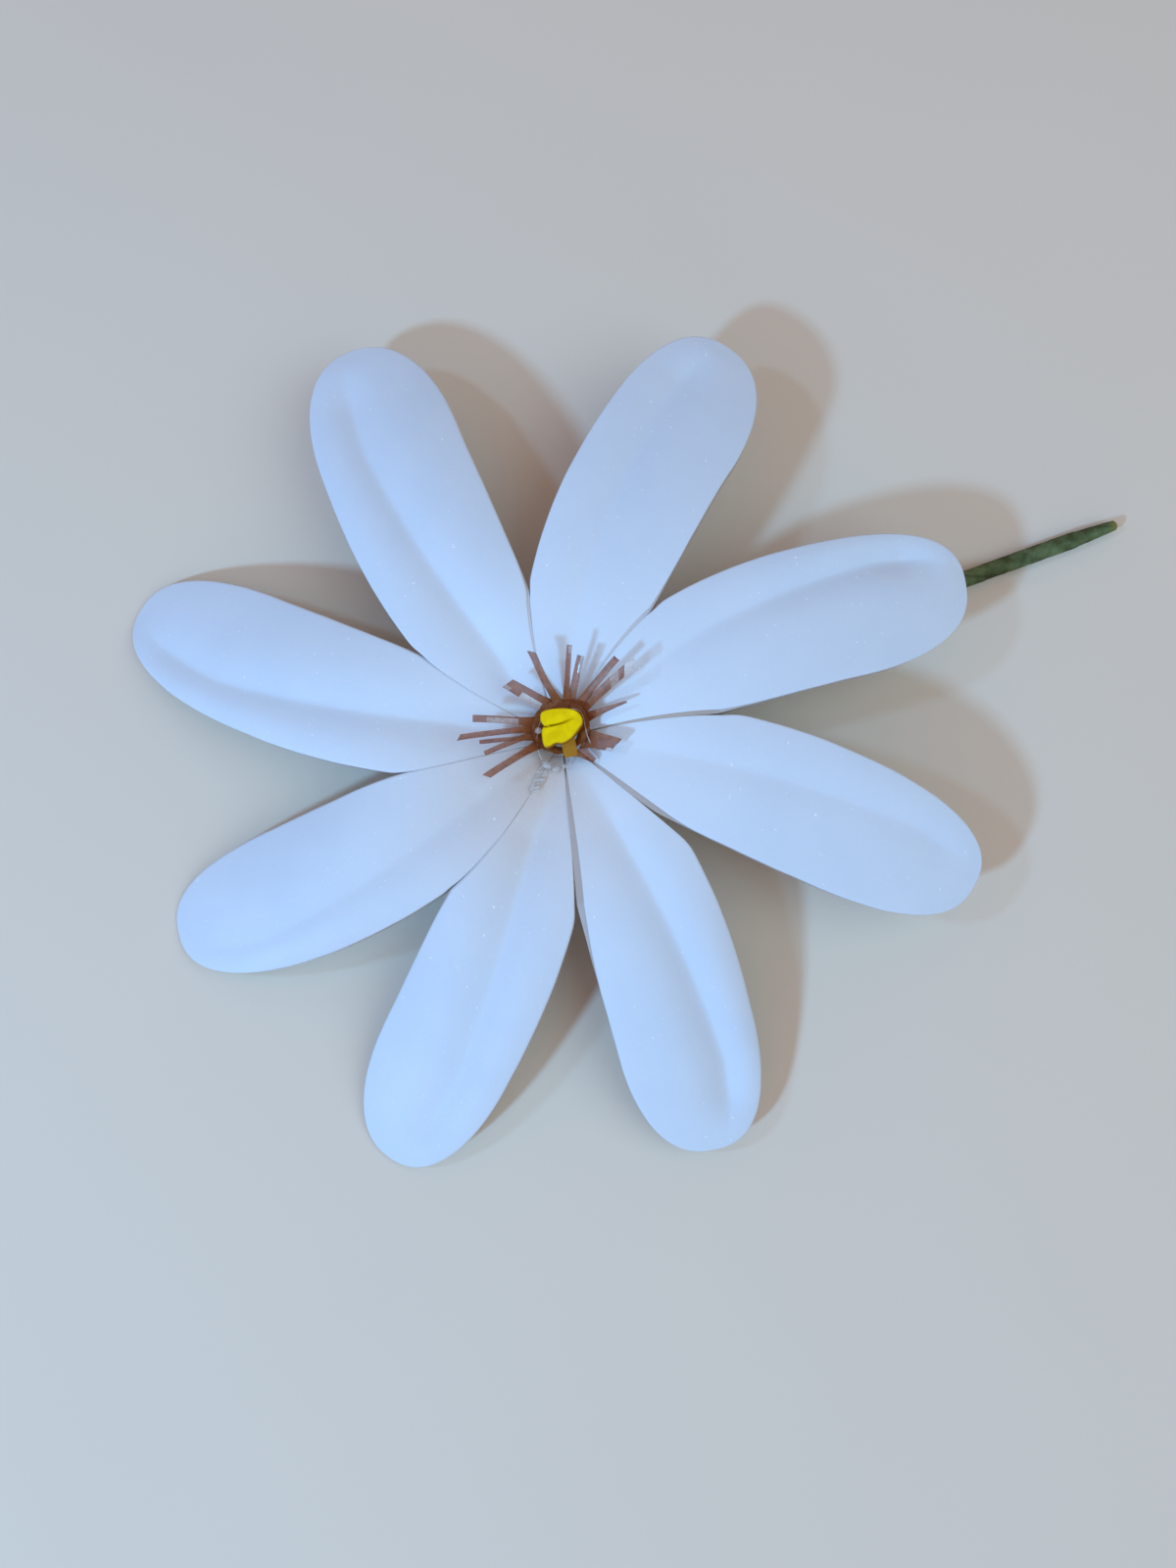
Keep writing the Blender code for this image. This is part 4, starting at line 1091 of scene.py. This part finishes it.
@dataclass(frozen=True)
class FoldedPistil:
    """The pistil: a yellow foam strip folded double, standing on its edge in the fringe."""

    place: HeadPlace
    middle: Span = (0.5, 0.8)
    top: float = 8.2
    wall_top: float = 7.6
    shoulder: float = 5.7
    neck: float = 4.9
    base: float = 3.6
    neck_share: float = 0.72
    edge_round: float = 0.22
    # plan of the strip's cut edge, anticlockwise from its lower left corner, which is torn
    outline: tuple[Span, ...] = (
        (-2.1, -1.52), (-1.83, -2.06), (-1.14, -1.92), (-0.6, -1.6), (-0.19, -1.47), (0.5, -1.52),
        (1.18, -1.27), (1.86, -0.8), (2.41, -0.18), (2.95, 0.57), (3.34, 1.19), (3.38, 1.88), (3.06, 2.52),
        (2.41, 3.06), (1.45, 3.32), (0.22, 3.38), (-1.02, 3.26), (-1.97, 3.02), (-2.4, 2.7), (-2.5, 2.2),
        (-2.46, 1.65), (-2.25, 1.23), (-1.98, 0.9), (-2.14, 0.66), (-2.3, 0.13), (-2.24, -0.7))
    # plan of the line where its two halves meet
    fold: tuple[Span, ...] = (
        (-2.2, 0.78), (-1.29, 0.9), (-0.19, 1.1), (0.77, 1.37), (1.45, 1.66), (2.1, 2.0))
    fold_depth: float = 0.7
    fold_width: float = 0.13
    fold_shut: float = 0.75      # share of its depth that it has lost at its closed end
    crown: float = 0.16          # how far each half bulges beside the fold,
    crown_reach: float = 0.7     # and over what distance from it
    uneven: float = 0.025        # unevenness of the cut edge
    rim_side_shade: float = 0.3        # share of the sides' ochre painted shade that the rounded rim shows
    tab_start: Spot = (1.2, -0.6, 6.0)
    tab_end: Spot = (1.7, -3.1, 5.35)
    tab_side: Spot = (1.0, 0.15, 0.0)
    tab_bow: float = 0.15
    tab_width: float = 2.05
    tab_thick: float = 0.5
    tab_narrowing: float = 0.12  # share of its width that it loses at its end,
    tab_last: Span = (0.85, 1.0)        # over these shares of its length
    tab_corners: Span = (0.35, 0.6)     # powers that square its section, across and up
    around: int = 140
    spline_steps: int = 8        # fine points of the outline for each one that is kept
    fold_steps: int = 80
    rings: int = 46
    rim_rings: int = 5
    wall_rings: int = 28
    tab_rings: int = 24
    tab_around: int = 36

    def plan(self) -> tuple[Array, Array]:
        """The outline as a smooth closed curve through its corners, and its outward direction.

        Between two corners it is the cubic of a Catmull-Rom spline.
        """
        corners = np.array(self.outline)
        steps = np.linspace(0.0, len(corners), self.spline_steps * self.around + 1)[:-1]
        start = steps.astype(int)
        share = (steps - start)[:, None]
        before, first, second, after = (corners[(start + shift) % len(corners)] for shift in (-1, 0, 1, 2))
        fine = 0.5 * (2 * first + (second - before) * share
                      + (2 * before - 5 * first + 4 * second - after) * share ** 2
                      + (3 * first - before - 3 * second + after) * share ** 3)
        line = resampled(fine, self.around)
        ahead = np.roll(line, -1, axis=0) - np.roll(line, 1, axis=0)
        ahead /= np.linalg.norm(ahead, axis=1, keepdims=True)
        return line, np.stack([ahead[:, 1], -ahead[:, 0]], axis=-1)

    def from_fold(self, plan: Array) -> tuple[Array, Array]:
        """Distance of points from the fold line, and how far along it the nearest place is."""
        line = strung(np.array(self.fold), self.fold_steps)
        away = np.linalg.norm(plan[..., None, :] - line, axis=-1)
        return away.min(axis=-1), away.argmin(axis=-1) / (len(line) - 1)

    def body(self) -> Surface:
        """The standing strip: its cut edge on top, the edge's rounding, the wall and the neck.

        The top is the outline drawn in to its middle. It dips along the fold by a bell curve that
        fades towards the fold's closed end, and each half bulges beside it.
        """
        line, outward = self.plan()
        inset = line - outward * self.edge_round
        middle = np.array(self.middle)
        top = middle + (inset - middle) * np.linspace(0.0, 1.0, self.rings)[:, None, None]
        arc = np.linspace(0.0, math.pi / 2, self.rim_rings + 1)[1:, None]
        over = inset + outward * self.edge_round * np.sin(arc)[..., None]
        away, along = self.from_fold(top)
        groove = bell(away, self.fold_width) * (1.0 - self.fold_shut * along)
        high = self.top - self.crown * np.exp(-away / self.crown_reach) - self.fold_depth * groove
        high = high + self.uneven * ripple(top[..., 0], top[..., 1], wave=3.0, seed=1.3)
        rim = high[-1] - self.edge_round * (1.0 - np.cos(arc))
        levels = np.array([self.wall_top, self.shoulder, self.neck, self.base])
        down = np.repeat(strung(levels[:, None], self.wall_rings), self.around, axis=1)
        slim = np.interp(down, (self.neck, self.shoulder), (self.neck_share, 1.0))
        wall = middle + (line - middle) * slim[..., None]
        height = np.concatenate([high, rim, down])
        grid = np.concatenate([np.concatenate([top, over, wall]), height[..., None]], axis=-1)
        # painted shade: dark along the crevice of the fold
        fold = np.concatenate([groove, np.zeros_like(rim), np.zeros_like(down)])
        # painted shade: ochre on the rounded rim and down the walls
        painted_side_shade = np.concatenate([np.zeros_like(high), np.full_like(rim, self.rim_side_shade), np.ones_like(down)])
        return loft(self.place.put(grid), {"painted_side_shade": painted_side_shade, "fold": fold})

    def tab(self) -> Surface:
        """The strip's tail: a flat slab with round corners that slopes down out of the fringe."""
        start, end = np.array(self.tab_start), np.array(self.tab_end)
        share = np.linspace(0.0, 1.0, self.tab_rings)
        path = start + (end - start) * share[:, None]
        path[:, 2] += self.tab_bow * np.sin(math.pi * share)
        across, upward = frames(path, np.array(self.tab_side))
        loop = around(self.tab_around)
        wide, thick = (np.sign(wave) * np.abs(wave) ** power
                       for wave, power in zip((np.cos(loop), np.sin(loop)), self.tab_corners))
        half = self.tab_width / 2 * (1.0 - self.tab_narrowing * smoothstep(share, *self.tab_last))
        grid = (path[:, None] + (half[:, None] * wide)[..., None] * across[:, None]
                + (self.tab_thick / 2 * thick)[None, :, None] * upward[:, None])
        # the whole tail has the sides' ochre painted shade
        ones = np.ones(grid.shape[:2])
        return loft(self.place.put(grid), {"painted_side_shade": ones, "fold": 0.0 * ones})

    def build(self) -> None:
        """Make the pistil as one piece."""
        add_piece("folded_pistil", joined([self.body(), self.tab()]), [YELLOW_FOAM.material()],
                  "pistil")


# Glue


@dataclass(frozen=True)
class Lump:
    """A lump of glue, in the head's frame."""

    spot: Spot
    half: Spot               # half its length, width and height
    turn: float = 0.0


LUMPS = (
    Lump(spot=(-2.9, 0.45, 6.3), half=(0.5, 0.48, 0.36)),
    Lump(spot=(-0.6, -4.8, 4.2), half=(0.6, 0.4, 0.35), turn=20.0),
    Lump(spot=(0.7, -4.4, 4.3), half=(0.35, 0.3, 0.3), turn=80.0),
    Lump(spot=(-1.9, -4.2, 4.2), half=(0.7, 0.5, 0.5), turn=-30.0),
    Lump(spot=(4.2, 0.7, 4.9), half=(0.5, 0.35, 0.4), turn=60.0),
)

# corners of each thread's curve
THREADS = (
    ((-2.6, -3.4, 3.6), (-3.6, -1.4, 6.0), (-3.1, 1.0, 6.2), (-2.4, 2.6, 5.0)),
    ((1.5, 3.45, 6.4), (4.4, 3.6, 7.4), (3.0, 1.0, 6.4), (4.6, -1.6, 5.4)),
    ((-2.2, -3.6, 4.0), (-2.9, -5.4, 6.4), (-3.4, -6.6, 7.2), (-3.8, -8.2, 7.5)),
)


@dataclass(frozen=True)
class GlueInMiddle:
    """Hot-melt glue: the plug in the funnel, lumps, threads, and a tongue squeezed out of one seam."""

    place: HeadPlace
    petals: FoamPetals
    # heights and radii of the plug
    profile: tuple[Span, ...] = ((0.9, 0.0), (0.9, 1.5), (2.0, 2.3), (2.9, 2.7), (3.3, 2.6), (3.6, 1.9),
                                 (3.7, 0.0))
    plug_uneven: float = 0.02
    plug_girth: float = 3.0      # radius at which its ripple is laid round
    plug_rings: int = 60
    plug_sides: int = 48
    lump_uneven: float = 0.12
    lump_fine: float = 2.0       # more makes its ripple finer
    lump_rings: int = 21
    lump_sides: int = 32
    thread_radius: float = 0.06
    thread_waist: float = 0.6    # share of that radius half way along a thread,
    thread_swell: float = 0.9    # and what its ends have more
    thread_side: Spot = (0.31, 0.29, 0.9)
    thread_rings: int = 40
    thread_sides: int = 8
    tongue_start: Span = (-1.9, -3.9)
    tongue_end: Span = (-3.9, -8.3)
    tongue_width: float = 1.9
    tongue_narrowing: float = 0.45
    tongue_blunt: int = 8        # power that rounds its ends
    tongue_wave: float = 0.14    # unevenness of its outline,
    tongue_run: float = 6.0      # and its length, near enough for that
    tongue_crinkle: float = 0.12        # unevenness of its height,
    tongue_fine: Span = (9.0, 1.4)      # and more makes that finer, along it and across
    tongue_thick: float = 0.34
    tongue_point: float = 0.01   # half width under which its ends have no thickness
    tongue_lift: float = 0.1
    tongue_rings: int = 50
    tongue_sides: int = 24

    def plug(self) -> Surface:
        """The plug: its profile of heights and radii turned round the axis, with uneven sides."""
        height, radius = strung(np.array(self.profile), self.plug_rings).T
        angle = around(self.plug_sides)
        x, y = self.plug_girth * np.cos(angle), self.plug_girth * np.sin(angle)
        uneven = 1.0 + self.plug_uneven * ripple(x, y, wave=2.4, seed=0.2)
        uneven_radius = radius[:, None] * np.minimum(uneven, 1.0)
        return loft(self.place.put(turned(height, uneven_radius, self.plug_sides)))

    def lump(self, lump: Lump, seed: float) -> Surface:
        """A lump: an ellipsoid whose radius ripples."""
        polar = np.linspace(0.0, math.pi, self.lump_rings)
        ball = turned(-np.cos(polar), np.sin(polar)[:, None], self.lump_sides)
        x, y, z = np.moveaxis(ball, -1, 0)
        uneven = ripple(x * self.lump_fine + z, y * self.lump_fine - z, wave=3.0, seed=seed)
        swell = 1.0 + self.lump_uneven * uneven
        x, y, z = np.moveaxis(ball * swell[..., None] * np.array(lump.half), -1, 0)
        ahead, aside = towards(lump.turn)
        grid = np.stack([x * ahead - y * aside, x * aside + y * ahead, z], axis=-1) + np.array(lump.spot)
        return loft(self.place.put(grid))

    def thread(self, corners: tuple[Spot, ...]) -> Surface:
        """A drawn thread: a thin tube along the cubic curve that four corners pull, thinnest half way."""
        path = cubic(corners, self.thread_rings)
        from_middle = np.linspace(-1.0, 1.0, self.thread_rings)
        radii = self.thread_radius * (self.thread_waist + self.thread_swell * from_middle ** 2)
        return loft(self.place.put(tube(path, radii, np.array(self.thread_side), self.thread_sides)))

    def tongue(self) -> Surface:
        """The tongue: a crinkled flat strip that lies on the petals along their seam."""
        share = np.linspace(0.0, 1.0, self.tongue_rings)
        start, end = np.array(self.tongue_start), np.array(self.tongue_end)
        plan = start + (end - start) * share[:, None]
        along = (end - start) / np.linalg.norm(end - start)
        height = self.petals.rise(np.linalg.norm(plan, axis=1))
        loop = around(self.tongue_sides)
        half = self.tongue_width / 2 * (1.0 - self.tongue_narrowing * share)
        uneven = ripple(share * self.tongue_run, share, wave=3.2, seed=2.1)
        half = half * (1.0 + self.tongue_wave * uneven)
        half = half * np.sqrt(np.clip(1.0 - (2 * share - 1) ** self.tongue_blunt, 0.0, 1.0))
        fine_along, fine_across = self.tongue_fine
        crinkle = ripple(share[:, None] * fine_along, np.cos(loop)[None, :] * fine_across,
                         wave=2.0, seed=0.4)
        aside = half[:, None] * np.cos(loop)
        z = self.tongue_thick / 2 * np.sin(loop)[None, :] * (half > self.tongue_point)[:, None]
        z = height[:, None] + self.tongue_lift + z + self.tongue_crinkle * crinkle
        grid = np.stack([plan[:, :1] - aside * along[1], plan[:, 1:] + aside * along[0], z], axis=-1)
        return loft(self.place.put(grid))

    def build(self) -> None:
        """Make all the glue one piece."""
        parts = [self.plug(), self.tongue()]
        parts += [self.lump(lump, seed) for seed, lump in enumerate(LUMPS)]
        parts += [self.thread(corners) for corners in THREADS]
        add_piece("glue", joined(parts), [HOT_GLUE.material()], "hot_glue")


# Stem


@dataclass(frozen=True)
class TapedStem:
    """The stem: paper tape wound round the claws and along the wire."""

    place: HeadPlace
    end: Span = (85.5, 35.0)
    bow: float = 1.1
    radius: float = 1.3
    end_radius: float = 0.82
    end_taper: float = 6.4
    end_step: float = 0.1        # the outer layer of tape stops where the taper starts,
    end_step_run: float = 0.5
    end_swell: float = 0.2       # and on one side it stands off a little before it does
    end_swell_run: float = 3.0
    end_rim: float = 0.72        # the last ring is drawn in to this share of its radius
    channel: float = 0.8
    cup_inner: float = 3.75
    cup_top: float = -1.6
    cup_floor: float = -3.5
    cup_neck: float = -5.0
    bend_run: float = 3.4
    pull: float = 0.55           # how strongly the bend leaves and arrives, as a share of its drop
    facets: int = 14             # of the CAD tube, whose flat facet rests on the floor
    # distances from the cup's rim and radii there
    cup_profile: tuple[Span, ...] = ((0.0, 4.2), (0.3, 4.38), (1.2, 4.32), (1.9, 4.1), (2.5, 3.3),
                                     (3.0, 2.2), (3.5, 1.55), (5.0, 1.42), (7.5, 1.3))
    pitch: float = 24.0          # length of stem that one turn of the tape covers
    pitch_uneven: float = 0.04
    lap_step: float = 0.06       # height of the tape's edge,
    lap_rise: float = 0.03       # shares of a turn over which it rises
    lap_fall: float = 0.3        # and falls back
    lap_dark: float = 0.7        # how dark the line along it is,
    lap_line: Span = (0.02, 0.035)      # and how wide, past the edge and before it
    crinkle: float = 0.035
    crinkle_run: float = 0.6     # more makes the crinkles finer along the stem,
    crinkle_round: Span = (3.0, 2.0)    # and round it, as a wave and evenly
    calm_run: float = 1.0        # laps and crinkles come in over this distance from the cup's rim
    tip_dull: float = 0.8        # share of the tip's own colour that its end shows
    tip_span: Span = (0.2, 1.6)
    axis_steps: int = 12
    bend_steps: int = 60
    run_steps: int = 200
    rings: int = 430
    sides: int = 40
    ring_step: int = 8           # the channel inside has only every so many rings,
    channel_short: int = 3       # and ends at least this many before the stem does

    def middle(self) -> tuple[Array, Array]:
        """Middle line from the claws to the stem's end at even distances, and the side it bows to.

        It goes straight down the head's axis, round a cubic curve that leaves along the axis and
        arrives level, and out in a run that bows sideways as half a sine wave.
        """
        level = self.radius * math.cos(math.pi / self.facets)
        up = self.place.turn()[:, 2]
        heights = np.linspace(self.cup_top, self.cup_neck, self.axis_steps)
        axis = heights[:, None] * up + np.array([0.0, 0.0, self.place.throat_height])
        start = axis[-1]
        out = np.array([*self.end, 0.0]) / math.hypot(*self.end)
        side = np.array([-out[1], out[0], 0.0])
        run = np.array([start[0], start[1], 0.0]) + out * self.bend_run
        run[2] = level
        pull = self.pull * (start[2] - level)
        bend = cubic((start, start - up * pull, run - out * pull, run), self.bend_steps)[1:]
        t = np.linspace(0.0, 1.0, self.run_steps)[1:, None]
        straight = run + (np.array([*self.end, level]) - run) * t + side * self.bow * np.sin(math.pi * t)
        return resampled(np.concatenate([axis, bend, straight]), self.rings), side

    def bare_radius(self, run: Array, left: Array, angle: Array) -> Array:
        """Radius without laps and crinkles: the cup, the stem, and the taper where the tape ends.

        Args:
            run: Distance of each ring from the cup's rim.
            left: Distance of each ring from the stem's end.
            angle: Angle of each point of a ring.

        Returns:
            The radius, rings by angles.
        """
        base = np.interp(run, *np.array(self.cup_profile).T)
        taper = np.minimum(left / self.end_taper, 1.0)
        base = base - (self.radius - self.end_step - self.end_radius) * (1.0 - taper)
        ahead = left - self.end_taper
        covered = smoothstep(ahead, 0.0, self.end_step_run)
        base = base - self.end_step * (1.0 - covered)
        swell = self.end_swell * bell(ahead, self.end_swell_run) * covered
        return base[:, None] + swell[:, None] * np.clip(-np.cos(angle), 0.0, 1.0)[None, :]

    def build(self) -> None:
        """Wind the tape: a tube whose radius has the tape's lap and its crinkles.

        The lap is a step at a phase that grows along the stem and round it, so it is a helix. After
        the step the radius falls back slowly. The crinkles are ripples along the tube.
        """
        path, side = self.middle()
        run = np.arange(self.rings) * float(np.linalg.norm(path[1] - path[0]))
        left = run[-1] - run
        angle = around(self.sides)
        base = self.bare_radius(run, left, angle)
        uneven = self.pitch_uneven * ripple(run, np.zeros_like(run), wave=17.0, seed=0.7)
        phase = (run[:, None] / self.pitch - angle[None, :] / (2 * math.pi) + uneven[:, None]) % 1.0
        edge = np.exp(-phase / self.lap_fall) * smoothstep(phase, 0.0, self.lap_rise)
        waved, plain = self.crinkle_round
        ridges = ripple(run[:, None] * self.crinkle_run, (waved * np.cos(angle) + plain * angle)[None, :],
                        wave=1.6, seed=0.3)
        ridges = self.crinkle * ridges
        calm = smoothstep(run, 0.0, self.calm_run)[:, None]
        outer = np.minimum(base - self.lap_step + (self.lap_step * edge + ridges) * calm, base)
        outer[-1] *= self.end_rim
        outside = tube(path, outer, side, self.sides)
        inner_rows = np.arange(0, self.rings - self.channel_short, self.ring_step)
        inner = np.where(run[inner_rows] < self.cup_top - self.cup_floor, self.cup_inner, self.channel)
        inside = tube(path[inner_rows], inner, side, self.sides)
        dark = bell(phase, self.lap_line[0]) + bell(phase - 1.0, self.lap_line[1])
        dull = self.tip_dull * (1.0 - smoothstep(left, *self.tip_span))
        bare = np.zeros(inside.shape[:2])
        lap = np.concatenate([np.clip(self.lap_dark * dark[::-1], 0.0, 1.0), bare])
        tip = np.concatenate([np.repeat(dull[::-1, None], self.sides, axis=1), bare])
        grid = self.place.moved(np.concatenate([outside[::-1], inside]))
        add_piece("wound_tape", loft(grid, {"lap": lap, "tip": tip}), [PAPER_TAPE.material()],
                  "stem_tape")

    def dress_wire(self, wire: bpy.types.Object) -> None:
        """Give the CAD wire, which keeps its shape, its steel."""
        steel = STEEL_WIRE.material()
        for spot in wire.material_slots:
            spot.material = steel
        log.info("stem_wire keeps its CAD shape, in steel")


# Floor, light and camera


@dataclass(frozen=True)
class Lamp:
    """A soft round lamp that faces the flower."""

    name: str
    azimuth: float
    elevation: float
    size: float
    power: float
    colour: str
    distance: float = 700.0


LAMPS = (
    Lamp(name="window", azimuth=219.0, elevation=37.0, size=65.0, power=3.35, colour="#8BCAFF"),
    Lamp(name="door", azimuth=178.0, elevation=47.0, size=65.0, power=0.86, colour="#87CAFF"),
    Lamp(name="room", azimuth=-15.0, elevation=50.0, size=800.0, power=3.3, colour="#AEDCF2",
         distance=800.0),
)


@dataclass(frozen=True)
class Studio:
    """The floor, the lamps and the camera."""

    place: HeadPlace
    floor_half: float = 1500.0
    floor_height: float = -0.02
    surround: str = "#FAD4CA"
    surround_strength: float = 0.43
    camera_spot: Spot = (3.81, -33.84, 190.57)
    camera_tilt: float = 8.5
    lens: float = 29.25          # on a sensor that is 36 high, so 1300 pixels of a 1600 pixel high image
    sensor: float = 36.0
    clip_start: float = 10.0

    def floor(self) -> None:
        """Lay a plain pale board under the flower."""
        half = self.floor_half * MM
        corners = [(-half, -half), (half, -half), (half, half), (-half, half)]
        mesh = bpy.data.meshes.new("floor")
        mesh.from_pydata([(x, y, self.floor_height * MM) for x, y in corners], [], [[0, 1, 2, 3]])
        mesh.materials.append(PALE_BOARD.material())
        held("floor", mesh)

    def lamp(self, lamp: Lamp) -> None:
        """Hang a lamp so that it faces the middle of the flower."""
        data = bpy.data.lights.new(lamp.name, "AREA")
        data.shape = "DISK"
        data.size = lamp.size * MM
        data.energy = lamp.power
        data.color = linear(lamp.colour)[:3]
        elevation = math.radians(lamp.elevation)
        level = towards(lamp.azimuth) * math.cos(elevation)
        up = Vector((level[0], level[1], math.sin(elevation)))
        holder = held(lamp.name, data)
        holder.location = up * lamp.distance * MM
        holder.rotation_euler = up.to_track_quat("Z", "Y").to_euler()

    def world(self) -> None:
        """Fill the room with even pale light."""
        world = bpy.data.worlds.new("room")
        world.use_nodes = True
        background = world.node_tree.nodes["Background"]
        background.inputs["Color"].default_value = linear(self.surround)
        background.inputs["Strength"].default_value = self.surround_strength
        bpy.context.scene.world = world

    def camera(self) -> None:
        """Hold the camera over the flower, tilted as it was for the photograph."""
        data = bpy.data.cameras.new("camera")
        data.sensor_fit = "VERTICAL"
        data.sensor_height = self.sensor
        data.lens = self.lens
        data.clip_start = self.clip_start * MM
        holder = held("camera", data)
        holder.location = (self.place.moved(np.array(self.camera_spot)) * MM).tolist()
        holder.rotation_euler = (math.radians(self.camera_tilt), 0.0, 0.0)
        bpy.context.scene.camera = holder

    def build(self) -> None:
        """Make the whole studio."""
        self.floor()
        for lamp in LAMPS:
            self.lamp(lamp)
        self.world()
        self.camera()
        bpy.context.scene.view_settings.view_transform = "Standard"
        log.info("studio with %d lamps", len(LAMPS))


# heights and radii of the rings of the CAD glue plug, and its sides
CAD_PLUG = ((0.9, 1.5), (2.0, 2.45), (3.0, 3.1), (3.3, 3.1))
CAD_PLUG_SIDES = 18


def packed_place() -> HeadPlace:
    """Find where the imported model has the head, from the middle of the glue plug's box."""
    height, radius = np.array(CAD_PLUG).T
    own = HeadPlace().put(turned(height, radius[:, None], CAD_PLUG_SIDES)).reshape(-1, 3)
    low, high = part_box("hot_glue")
    shift = [(low[axis] + high[axis]) / 2 / MM - (own[:, axis].min() + own[:, axis].max()) / 2
             for axis in (0, 1)]
    return HeadPlace(shift_x=shift[0], shift_y=shift[1])


def main() -> None:
    """Load the frame, dress every piece of the flower and set up the studio."""
    logging.basicConfig(level=logging.INFO, format="%(name)s: %(message)s")
    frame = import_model()
    place = packed_place()
    log.info("head's axis at %.3f, %.3f", place.shift_x, place.shift_y)
    petals = FoamPetals(place)
    petals.build()
    FilmFringe(place).build()
    FoldedPistil(place).build()
    GlueInMiddle(place, petals).build()
    stem = TapedStem(place)
    stem.build()
    stem.dress_wire(frame["nodes"]["stem_wire"])
    Studio(place).build()


if __name__ == "__main__":
    main()
